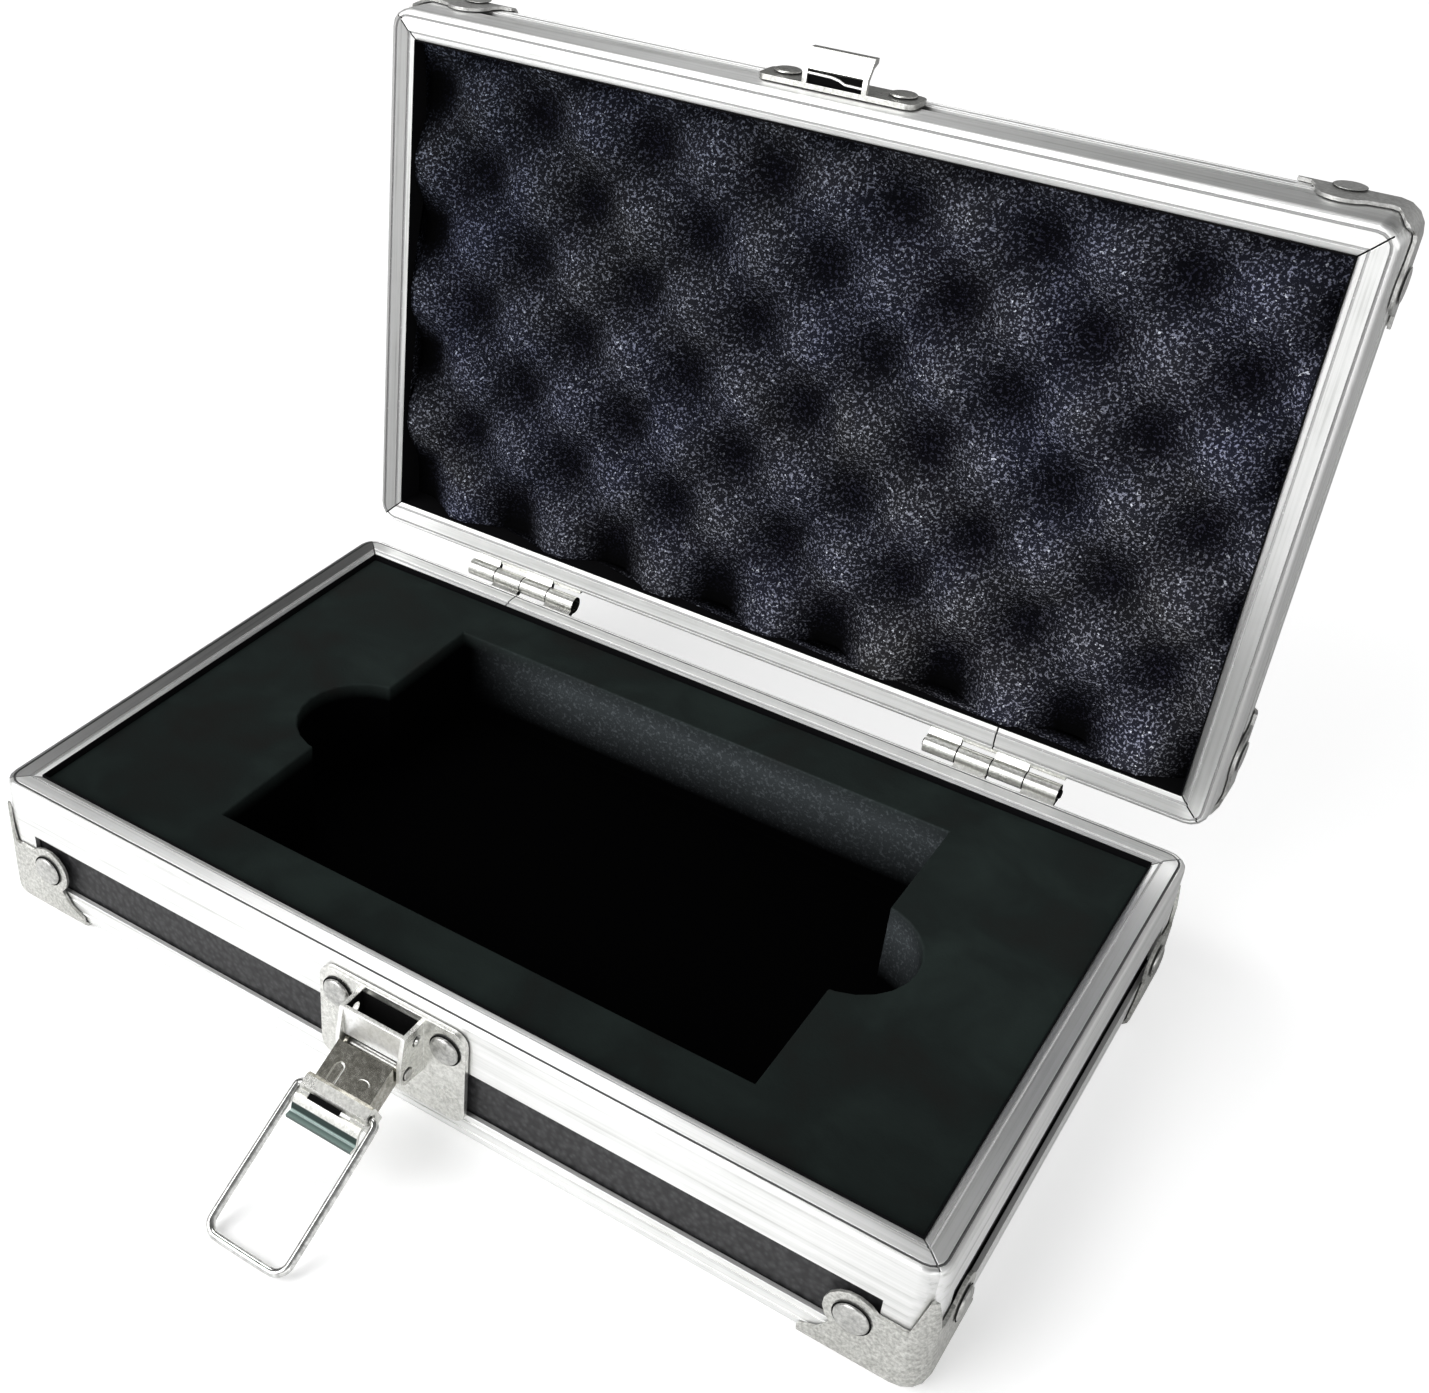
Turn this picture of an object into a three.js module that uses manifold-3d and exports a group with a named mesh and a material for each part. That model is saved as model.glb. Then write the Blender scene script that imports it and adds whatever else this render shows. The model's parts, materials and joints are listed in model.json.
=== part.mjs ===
// Card display case: framed base and lid, foam inserts, two butt hinges and a draw latch.
// Millimetres, +Z up, +X to the right along the front, the lid hinged at the rear (+Y).
// The origin is on the plane that the corner protectors stand on, in the middle of the open
// case's length and of its whole reach from the wire bail to the back of the lid.

import * as THREE from "three";
import { mergeVertices } from "three/addons/utils/BufferGeometryUtils.js";
import Module from "manifold-3d";

const wasm = await Module();
wasm.setup();

// Case, over the faces of the aluminium strips
const caseLength = 220;
const caseWidth = 131;
const baseDepth = 30.5;
const lidDepth = 17.5;
const cornerRadius = 4.5;
const rimGap = 0.3;
const lidOpenAngle = 92.5;

// Clearance between neighbouring pieces, and how far a cutting tool runs past its cut
const fitGap = 0.3;
const overrun = 2;

// Rim strips
const webThickness = 1.2;
const flangeThickness = 1.2;
const lipThickness = 1.3;
const lipDrop = 4;
const lipStep = 0.3;
const beadRadius = 0.9;
const beadWidth = 1.1;
const grooveWidth = 0.5;
const grooveDepth = 0.5;
const slitWidth = 0.3;
const cornerTabLength = 9;
const baseStripHeight = 12;
const lidStripHeight = 9.5;
const baseButtPlace = -62.3;
const lidButtPlace = 62.7;

// Edge strips along the outer edges
const edgeSheet = 1;
const edgeRadius = 1.5;
const edgeFlangeWidth = 9;
const baseEdgeHeight = 6.9;
const lidEdgeHeight = 5;
const ridgeLineWidth = 0.5;
const ridgeLineDepth = 0.25;
const ridgeLineShares = [0.36, 0.74];

// Boards and outer panels
const boardThickness = 3.3;
const panelThickness = 3;

// Foam inserts
const baseFoamStep = 1.5;
const pocketLength = 128.6;
const pocketWidth = 88.8;
const pocketDepth = 22;
const notchRadius = 14.5;
const notchInset = 2.3;
const lidFoamStep = 0.5;
const pitDepth = 8;
const pitPitchX = 29.5;
const pitPitchY = 33;
const firstPitX = 17.5;
const firstPitFromHinge = 17.5;
const foamCellsX = 42;
const foamCellsY = 22;

// Corner protectors
const protectorSheet = 0.7;
const footLength = 22.5;
const footWidth = 2.2;
const lobeRadius = 5.6;
const rivetInset = 13.2;
const notchAt = 3.4;
const shoulderAt = 5.4;
const shoulderRise = 0.2;
const waistPull = 1;
const baseProtector = { ridge: 23.5, notch: 15, rivet: 11.6, lobeEnd: -50 };
const lidProtector = { ridge: 11.5, notch: 7.6, rivet: 4.8, lobeEnd: -5 };

// Rivets
const cornerRivetRadius = 3.4;
const cornerRivetHeight = 0.8;
const latchRivetRadius = 3.2;
const latchRivetHeight = 1;
const catchRivetRadius = 2.6;

// Hinges
const hingeInset = 46.5;
const hingeLength = 32;
const hingeOffset = 4;
const knuckleCount = 4;
const knuckleRadius = 2.2;
const hingePinRadius = 1;
const hingePinProud = 0.4;
const leafSheet = 1;
const leafStart = 1.6;
const leafEnd = 11;

// Latch plate and its pressed box, with distances out from the front face and up from the lower edge
const latchPlace = -1.8;
const latchSheet = 1.2;
const latchWidth = 35;
const latchBottom = 5.3;
const latchTop = 28.8;
const latchCornerRadius = 3;
const latchRivetSpacing = 25.9;
const latchRivetPlace = 23.5;
const boxWidth = 15.6;
const boxSheet = 1;
const boxOut = 7.4;
const boxTop = 27.6;
const boxFrontBottom = 20.8;
const earOut = 8.8;
const earBottom = 15.4;
const earRootBottom = 14.5;
const earHoleOut = 3.6;
const earHoleUp = 24.4;
const earHoleRadius = 1.3;
const pivotOut = 6.5;
const pivotUp = 18;
const pivotPinRadius = 1.2;
const pivotPinProud = 0.3;

// Lever, with distances along it from the pivot and out to its face
const leverOpenDrop = 26;
const leverClosedDrop = 100;
const leverSheet = 0.8;
const leverFace = 3.9;
const leverStart = 1.2;
const leverEyeRadius = 2.3;
const leverFlangeDrop = 1;
const leverNeckEnd = 9.8;
const leverHeadStart = 9.2;
const leverHeadWidth = 15.6;
const leverHeadFlangeEnd = 13.4;
const wireArchRise = 0.65;
const wireArchStart = 9.9;
const wireArchEnd = 12.1;
const channelStart = 12.8;
const channelEnd = 13.5;
const channelDrop = 0.3;
const bandStart = 14;
const bandRise = 0.3;
const bandEnd = 15.6;
const bandDrop = 0.5;
const tipBend = 16.8;
const tipBendDrop = 1.9;
const tipEnd = 18.2;
const tipEndDrop = 1.3;
const tongueWidth = 2.4;
const tongueStart = 4.6;
const tongueEnd = 9;
const tongueLine = 0.45;
const tonguePlace = 3.2;
const windowLength = 9;

// Wire bail
const bailPivotAlong = 11.3;
const bailPivotOut = 2.6;
const wireRadius = 0.9;
const bailWidth = 20.4;
const bailCornerRadius = 3;
const bailShoulderRadius = 1.4;
const bailStubLap = 1.1;

// Catch on the lid, with distances out from the front face and up from the rim
const catchSheet = 1.1;
const catchWidth = 35;
const catchEdge = 5;
const catchHeight = 8.4;
const catchCornerRadius = 2;
const hookWidth = 14.4;
const hookRise = 1.1;
const hookLipRoot = 4.4;
const hookLipOut = 8.1;
const hookLipRise = 2.4;
const hookTipRise = 4.2;
const hookNotchOut = 5.5;
const wireSeatOut = 3.4;
const wireSeatGap = 0.4;

// Arc and side counts
const cornerSteps = 4;
const edgeSteps = 3;
const roundSides = 16;
const rivetSides = 12;
const wireSides = 10;
const bailSteps = 6;

// Places worked out from the sizes above
const halfLength = caseLength / 2;
const halfWidth = caseWidth / 2;
const boardFace = webThickness + fitGap;
const boardBack = boardFace + boardThickness;
const rimWidth = boardBack + fitGap + lipThickness;
const foamInset = rimWidth + fitGap;
const protectorProud = fitGap + protectorSheet;
const panelBottom = edgeSheet + fitGap;
const panelTop = panelBottom + panelThickness;
const liningBottom = panelTop + fitGap;
const hingeSpacing = caseLength - 2 * hingeInset;
const hingeAxisY = halfWidth + hingeOffset;
const hingeAxisZ = protectorProud + baseDepth + rimGap / 2;

const aluminium = { color: 0xd8dadb, roughness: 0.32, metalness: 1 };
const plated = { color: 0xb4b4ae, roughness: 0.36, metalness: 1 };
const rivetSteel = { color: 0xa3a49f, roughness: 0.34, metalness: 1 };
const hardware = { color: 0xc6c8c6, roughness: 0.2, metalness: 1 };
const facing = { color: 0x3c3d41, roughness: 0.6, metalness: 0 };
const baseFoamFinish = { color: 0x212526, roughness: 0.95, metalness: 0 };
const lidFoamFinish = { color: 0x2a2c33, roughness: 0.95, metalness: 0 };

function radians(degrees) {
  return THREE.MathUtils.degToRad(degrees);
}

function point(x, y) {
  return new THREE.Vector2(x, y);
}

// A closed geometry as a solid for joining and cutting
function solid(geometry) {
  const bare = geometry.clone();
  bare.deleteAttribute("normal");
  bare.deleteAttribute("uv");
  const merged = mergeVertices(bare);
  const vertProperties = new Float32Array(merged.attributes.position.array);
  const triVerts = new Uint32Array(merged.index.array);
  return new wasm.Manifold(new wasm.Mesh({ numProp: 3, vertProperties, triVerts }));
}

function geometryOf(body) {
  const mesh = body.getMesh();
  const geometry = new THREE.BufferGeometry();
  geometry.setAttribute("position", new THREE.BufferAttribute(mesh.vertProperties, 3));
  geometry.setIndex(new THREE.BufferAttribute(mesh.triVerts, 1));
  geometry.computeVertexNormals();
  return geometry;
}

function piece(name, geometry, finish) {
  const mesh = new THREE.Mesh(geometry, new THREE.MeshStandardMaterial(finish));
  mesh.name = name;
  return mesh;
}

function arc(x, y, radius, from, to, steps) {
  const points = [];
  for (let i = 0; i <= steps; i += 1) {
    const angle = radians(from + ((to - from) * i) / steps);
    points.push(point(x + radius * Math.cos(angle), y + radius * Math.sin(angle)));
  }
  return points;
}

function roundedRectangle(halfX, halfY, radius) {
  if (radius <= 0) {
    return [point(-halfX, -halfY), point(halfX, -halfY), point(halfX, halfY), point(-halfX, halfY)];
  }
  return [
    ...arc(halfX - radius, radius - halfY, radius, -90, 0, cornerSteps),
    ...arc(halfX - radius, halfY - radius, radius, 0, 90, cornerSteps),
    ...arc(radius - halfX, halfY - radius, radius, 90, 180, cornerSteps),
    ...arc(radius - halfX, radius - halfY, radius, 180, 270, cornerSteps),
  ];
}

// Outline of the case seen from above, set in from the outer faces
function plan(inset) {
  return roundedRectangle(halfLength - inset, halfWidth - inset, Math.max(cornerRadius - inset, 0));
}

function slab(points, bottom, top) {
  const settings = { depth: top - bottom, bevelEnabled: false };
  const geometry = new THREE.ExtrudeGeometry(new THREE.Shape(points), settings);
  return geometry.translate(0, 0, bottom);
}

// Slab of the case outline with its upper and lower edges rounded
function roundedSlab(inset, bottom, top, radius) {
  const geometry = new THREE.ExtrudeGeometry(new THREE.Shape(plan(inset)), {
    depth: top - bottom - 2 * radius,
    bevelThickness: radius,
    bevelSize: radius,
    bevelOffset: -radius,
    bevelSegments: edgeSteps,
  });
  return geometry.translate(0, 0, bottom + radius);
}

function block(x0, x1, y0, y1, z0, z1) {
  const geometry = new THREE.BoxGeometry(x1 - x0, y1 - y0, z1 - z0);
  return geometry.translate((x0 + x1) / 2, (y0 + y1) / 2, (z0 + z1) / 2);
}

// Band between two outlines of the case
function band(outer, inner, bottom, top) {
  return solid(slab(plan(outer), bottom, top))
    .subtract(solid(slab(plan(inner), bottom - overrun, top + overrun)));
}

// Outline given as distance out (-Y) and height, extruded across X
function across(points, x0, x1) {
  const geometry = slab(points, 0, x1 - x0);
  const turn = new THREE.Matrix4().makeBasis(
    new THREE.Vector3(0, -1, 0),
    new THREE.Vector3(0, 0, 1),
    new THREE.Vector3(-1, 0, 0),
  );
  return geometry.applyMatrix4(turn).translate(x1, 0, 0);
}

function roundBar(out, up, radius, x0, x1) {
  return across(arc(out, up, radius, 0, 360 - 360 / roundSides, roundSides - 1), x0, x1);
}

// Sheet bent along a line of points, its thickness to the right of the line
function bentSheet(line, thickness) {
  const back = line.map((here, i) => {
    const before = line[Math.max(i - 1, 0)];
    const after = line[Math.min(i + 1, line.length - 1)];
    const first = here.clone().sub(before).normalize();
    const second = after.clone().sub(here).normalize();
    const sum = first.clone().add(second).normalize();
    const lean = i === 0 || i === line.length - 1 ? 1 : sum.dot(first);
    return point(here.x + (sum.y * thickness) / lean, here.y - (sum.x * thickness) / lean);
  });
  return [...line, ...back.reverse()];
}

function mirrored(geometry, signX, signY) {
  const copy = geometry.clone().scale(signX, signY, 1);
  if (signX * signY < 0) {
    const index = copy.index.array;
    for (let i = 0; i < index.length; i += 3) {
      [index[i + 1], index[i + 2]] = [index[i + 2], index[i + 1]];
    }
  }
  copy.computeVertexNormals();
  return copy;
}

// Domed head standing on the plane y = 0, its axis along +Y
function rivetHead(radius, height) {
  const profile = [point(0, 0), point(radius, 0)];
  profile.push(...arc(0, 0, 1, 18, 68, 2).map((p) => point(p.x * radius, p.y * height)));
  profile.push(point(0, height));
  return new THREE.LatheGeometry(profile, rivetSides);
}

// Rim strip: outer web with a rounded bead, grooved flange, inner lip and corner tabs
function rimStrip(shell) {
  const top = shell.depth;
  const bottom = top - shell.strip;
  const tabBottom = shell.edge + fitGap;
  const tabTop = bottom + shell.strip / 2;
  let body = solid(roundedSlab(0, bottom - overrun, top, beadRadius))
    .intersect(solid(slab(plan(-overrun), bottom, top + overrun)))
    .subtract(solid(slab(plan(webThickness), bottom - overrun, top - flangeThickness)))
    .add(band(rimWidth - lipThickness, rimWidth + overrun, top - lipDrop, top - lipStep))
    .subtract(solid(slab(plan(rimWidth), bottom - overrun, top + overrun)));
  for (const inset of [beadWidth, rimWidth - lipThickness - grooveWidth]) {
    body = body.subtract(band(inset, inset + grooveWidth, top - grooveDepth, top + overrun));
  }
  body = body.subtract(band(rimWidth - lipThickness, rimWidth + overrun, top - lipStep, top + overrun));
  const tab = band(0, webThickness, tabBottom, tabTop).intersect(solid(block(
    halfLength - cornerTabLength,
    halfLength + overrun,
    halfWidth - cornerTabLength,
    halfWidth + overrun,
    tabBottom,
    tabTop,
  )));
  const slitStart = beadWidth + grooveWidth;
  const slitReach = (rimWidth + overrun - slitStart) * Math.SQRT2;
  const slitMiddle = (rimWidth + overrun + slitStart) / 2;
  for (const signX of [-1, 1]) {
    for (const signY of [-1, 1]) {
      body = body.add(solid(mirrored(geometryOf(tab), signX, signY)));
      const slit = new THREE.BoxGeometry(slitReach, slitWidth, 2 * (lipDrop + overrun));
      slit.rotateZ(radians(45 * signX * signY));
      slit.translate(signX * (halfLength - slitMiddle), signY * (halfWidth - slitMiddle), top);
      body = body.subtract(solid(slit));
    }
  }
  const butt = new THREE.BoxGeometry(slitWidth, 2 * (rimWidth + overrun), 2 * (shell.strip + overrun));
  butt.translate(shell.butt, -shell.front * halfWidth, top);
  return geometryOf(body.subtract(solid(butt)));
}

// Edge strip: an angle round the outer panel, with two fine lines along its face
function edgeStrip(shell) {
  const raised = solid(roundedSlab(0, 0, shell.edge + edgeRadius + overrun, edgeRadius));
  let body = raised
    .intersect(solid(slab(plan(-overrun), -overrun, shell.edge)))
    .subtract(solid(slab(plan(edgeSheet), edgeSheet, shell.edge + overrun)))
    .subtract(solid(slab(plan(edgeFlangeWidth), -overrun, edgeSheet + overrun)));
  for (const share of ridgeLineShares) {
    const line = share * shell.edge;
    body = body.subtract(band(-overrun, ridgeLineDepth, line, line + ridgeLineWidth));
  }
  return geometryOf(body);
}

// Corner protector for the +X +Y corner: one domed sheet with a lobe on each of its three faces
function protector(shell) {
  const { ridge, notch, rivet, lobeEnd } = shell.protector;
  const top = ridge + overrun;
  const outer = roundedSlab(-protectorProud, -protectorProud, top + edgeRadius, edgeRadius + protectorProud);
  const inner = roundedSlab(-fitGap, -fitGap, top + 2 * edgeRadius, edgeRadius + fitGap);
  const sheet = solid(outer).subtract(solid(inner));
  const reach = protectorProud + overrun;
  const sideLap = cornerRadius * (1 - Math.SQRT1_2);
  const lowerLap = edgeRadius * (1 - Math.SQRT1_2);
  const lean = waistPull * Math.SQRT1_2;
  const waist = (end) => point((end.x + footLength) / 2 - lean, (end.y + footWidth) / 2 - lean);
  const sideLobe = arc(rivetInset, rivet, lobeRadius, lobeEnd, 140, 9);
  const side = [
    point(-reach, -reach),
    point(footLength, -reach),
    point(footLength, footWidth),
    waist(sideLobe[0]),
    ...sideLobe,
    point(shoulderAt, notch + shoulderRise),
    point(notchAt, notch),
    point(sideLap, ridge),
    point(-reach, ridge),
  ];
  const lowerLobe = arc(rivetInset, rivetInset, lobeRadius, -50, 140, 9);
  const first = waist(lowerLobe[0]);
  const lower = [
    point(-reach, -reach),
    point(footLength, -reach),
    point(footLength, footWidth),
    first,
    ...lowerLobe,
    point(first.y, first.x),
    point(footWidth, footLength),
    point(-reach, footLength),
  ];
  const rear = slab(side.map((p) => point(halfLength - p.x, p.y)), 0, reach + sideLap);
  rear.rotateX(radians(90)).translate(0, halfWidth + reach, 0);
  const right = slab(side.map((p) => point(halfWidth - p.x, p.y)), 0, reach + sideLap);
  right.rotateX(radians(90)).rotateZ(radians(90)).translate(halfLength - sideLap, 0, 0);
  const under = slab(lower.map((p) => point(halfLength - p.x, halfWidth - p.y)), -reach, lowerLap);
  const faces = solid(rear).add(solid(right)).add(solid(under));
  return geometryOf(sheet.intersect(faces));
}

// Convoluted foam: a flat back and a face of staggered pits, the hinge side at -Y
function convolutedFoam(shell) {
  const x0 = foamInset - halfLength;
  const y0 = foamInset - halfWidth;
  const peak = shell.depth - lidFoamStep;
  const height = (x, y) => {
    const alongX = Math.cos((2 * Math.PI * (x - firstPitX)) / pitPitchX);
    const alongY = Math.cos((2 * Math.PI * (y + hingeAxisY - firstPitFromHinge)) / pitPitchY);
    return peak - (pitDepth * (1 + alongX * alongY)) / 2;
  };
  const places = [];
  const faces = [];
  const at = (i, j) => j * (foamCellsX + 1) + i;
  for (let j = 0; j <= foamCellsY; j += 1) {
    for (let i = 0; i <= foamCellsX; i += 1) {
      const x = x0 - (2 * x0 * i) / foamCellsX;
      const y = y0 - (2 * y0 * j) / foamCellsY;
      places.push(x, y, height(x, y));
    }
  }
  for (let j = 0; j < foamCellsY; j += 1) {
    for (let i = 0; i < foamCellsX; i += 1) {
      const corners = [at(i, j), at(i + 1, j), at(i + 1, j + 1), at(i, j + 1)];
      if ((i + j) % 2 === 0) {
        corners.push(corners.shift());
      }
      const [a, b, c, d] = corners;
      faces.push(a, b, c, a, c, d);
    }
  }
  const back = places.length / 3;
  places.push(x0, y0, liningBottom, -x0, y0, liningBottom);
  places.push(-x0, -y0, liningBottom, x0, -y0, liningBottom);
  faces.push(back, back + 2, back + 1, back, back + 3, back + 2);
  const rims = [[], [], [], []];
  for (let i = 0; i <= foamCellsX; i += 1) {
    rims[0].push(at(i, 0));
    rims[2].push(at(foamCellsX - i, foamCellsY));
  }
  for (let j = 0; j <= foamCellsY; j += 1) {
    rims[1].push(at(foamCellsX, j));
    rims[3].push(at(0, foamCellsY - j));
  }
  rims.forEach((rim, side) => {
    const near = back + side;
    const far = back + ((side + 1) % 4);
    faces.push(near, far, rim[rim.length - 1]);
    for (let i = 0; i < rim.length - 1; i += 1) {
      faces.push(near, rim[i + 1], rim[i]);
    }
  });
  const geometry = new THREE.BufferGeometry();
  geometry.setAttribute("position", new THREE.Float32BufferAttribute(places, 3));
  geometry.setIndex(faces);
  geometry.computeVertexNormals();
  return geometry;
}

// Foam block with a pocket for the cards and a finger notch at each end of it
function pocketFoam(shell) {
  const top = shell.depth - baseFoamStep;
  const floor = top - pocketDepth;
  const x = halfLength - foamInset;
  const y = halfWidth - foamInset;
  const pocketX = pocketLength / 2;
  const pocketY = pocketWidth / 2;
  let body = solid(block(-x, x, -y, y, liningBottom, top));
  body = body.subtract(solid(block(-pocketX, pocketX, -pocketY, pocketY, floor, top + overrun)));
  for (const sign of [-1, 1]) {
    const circle = arc(sign * (pocketX - notchInset), 0, notchRadius, 0, 345, 23);
    body = body.subtract(solid(slab(circle, floor, top + overrun)));
  }
  return geometryOf(body);
}

// Framed half of the case with its outer panel down and its rim up
function shellPieces(shell) {
  const { name, front, depth } = shell;
  const group = new THREE.Group();
  const boardTop = depth - flangeThickness - fitGap;
  const endX = halfLength - cornerRadius;
  const endY = halfWidth - boardBack - fitGap;
  const sides = { front, rear: -front };
  const ends = { left: -1, right: 1 };
  group.add(piece(name + "_rim_strip", rimStrip(shell), aluminium));
  group.add(piece(name + "_edge_strip", edgeStrip(shell), aluminium));
  group.add(piece(shell.panelName, slab(plan(panelBottom), panelBottom, panelTop), facing));
  for (const [side, sign] of Object.entries(sides)) {
    const board = block(-endX, endX, halfWidth - boardBack, halfWidth - boardFace, liningBottom, boardTop);
    const mesh = piece(name + "_" + side + "_panel", board.rotateZ(sign > 0 ? 0 : Math.PI), facing);
    group.add(mesh);
  }
  for (const [end, sign] of Object.entries(ends)) {
    const board = block(halfLength - boardBack, halfLength - boardFace, -endY, endY, liningBottom, boardTop);
    const mesh = piece(name + "_" + end + "_panel", board.rotateZ(sign > 0 ? 0 : Math.PI), facing);
    group.add(mesh);
  }
  const corner = protector(shell);
  for (const [side, signY] of Object.entries(sides)) {
    for (const [end, signX] of Object.entries(ends)) {
      const place = side + "_" + end;
      group.add(piece(name + "_protector_" + place, mirrored(corner, signX, signY), plated));
      const head = rivetHead(cornerRivetRadius, cornerRivetHeight);
      const level = shell.protector.rivet;
      const stand = protectorProud + fitGap;
      const sideRivet = piece(name + "_rivet_" + place + "_" + side, head, rivetSteel);
      sideRivet.position.set(signX * (halfLength - rivetInset), signY * (halfWidth + stand), level);
      sideRivet.rotation.z = signY > 0 ? 0 : Math.PI;
      const endRivet = piece(name + "_rivet_" + place + "_end", head.clone(), rivetSteel);
      endRivet.position.set(signX * (halfLength + stand), signY * (halfWidth - rivetInset), level);
      endRivet.rotation.z = (-signX * Math.PI) / 2;
      group.add(sideRivet, endRivet);
    }
  }
  return group;
}

// Hinge leaf about the hinge axis, below the axis on the base, with every other knuckle
function hingeLeaf(firstKnuckle) {
  const back = fitGap - hingeOffset;
  const face = back + leafSheet;
  let body = solid(block(-hingeLength / 2, hingeLength / 2, back, face, -leafEnd, -leafStart));
  const pitch = hingeLength / knuckleCount;
  const strap = [
    point(-back, -leafStart - leafSheet),
    point(-back, -leafStart),
    point(-knuckleRadius * Math.cos(radians(200)), knuckleRadius * Math.sin(radians(200))),
    point(-knuckleRadius * Math.cos(radians(245)), knuckleRadius * Math.sin(radians(245))),
    point(-face, -leafStart - leafSheet),
  ];
  for (let i = firstKnuckle; i < knuckleCount; i += 2) {
    const x0 = i * pitch - hingeLength / 2 + fitGap / 2;
    const x1 = x0 + pitch - fitGap;
    body = body.add(solid(across(strap, x0, x1)));
    body = body.add(solid(roundBar(0, 0, knuckleRadius, x0, x1)));
    const bore = roundBar(0, 0, hingePinRadius + fitGap, x0 - overrun, x1 + overrun);
    body = body.subtract(solid(bore));
  }
  return geometryOf(body);
}

function hinges(base, pivot) {
  const places = { left: -hingeSpacing / 2, right: hingeSpacing / 2 };
  for (const [side, x] of Object.entries(places)) {
    const baseLeaf = piece("hinge_" + side + "_base_leaf", hingeLeaf(1), hardware);
    baseLeaf.position.set(x, hingeAxisY, hingeAxisZ);
    const lidLeaf = piece("hinge_" + side + "_lid_leaf", mirrored(hingeLeaf(1), -1, -1), hardware);
    lidLeaf.position.set(x, 0, 0);
    lidLeaf.rotation.x = Math.PI;
    const half = hingeLength / 2 + hingePinProud;
    const pin = piece("hinge_" + side + "_pin", roundBar(0, 0, hingePinRadius, -half, half), rivetSteel);
    pin.position.set(x, hingeAxisY, hingeAxisZ);
    base.add(baseLeaf, pin);
    pivot.add(lidLeaf);
  }
}

function plateWithCorners(halfX, bottom, top, radius, sheet) {
  const height = top - bottom;
  const outline = roundedRectangle(halfX, height / 2, radius);
  const plate = slab(outline.map((p) => point(p.x, p.y + bottom + height / 2)), 0, sheet);
  return plate.rotateX(radians(90)).translate(0, -fitGap, 0);
}

function standingRivet(name, x, z, radius, height, sheet) {
  const rivet = piece(name, rivetHead(radius, height), rivetSteel);
  rivet.position.set(x, -(sheet + 2 * fitGap), z);
  rivet.rotation.x = Math.PI;
  return rivet;
}

// Latch plate with its pressed box: two ears and a front wall, open at the top and below
function latchPlate() {
  const face = fitGap + latchSheet;
  const half = boxWidth / 2;
  const root = face - latchSheet / 2;
  const ear = [
    point(root, earRootBottom),
    point(pivotOut - pivotPinRadius, earBottom),
    point(pivotOut + pivotPinRadius / 2, earBottom),
    point(earOut, pivotUp - pivotPinRadius),
    point(earOut, boxFrontBottom),
    point(boxOut, boxTop),
    point(root, boxTop),
  ];
  const holes = [
    [pivotOut, pivotUp, pivotPinRadius + fitGap],
    [earHoleOut, earHoleUp, earHoleRadius],
  ];
  let body = solid(plateWithCorners(latchWidth / 2, latchBottom, latchTop, latchCornerRadius, latchSheet));
  body = body.add(solid(across(ear, -half, boxSheet - half)));
  body = body.add(solid(across(ear, half - boxSheet, half)));
  const wall = block(-half, half, -boxOut, boxSheet - boxOut, boxFrontBottom, boxTop);
  body = body.add(solid(wall));
  for (const [out, up, radius] of holes) {
    for (const sign of [-1, 1]) {
      const middle = sign * half;
      body = body.subtract(solid(roundBar(out, up, radius, middle - overrun, middle + overrun)));
    }
  }
  return geometryOf(body);
}

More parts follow.
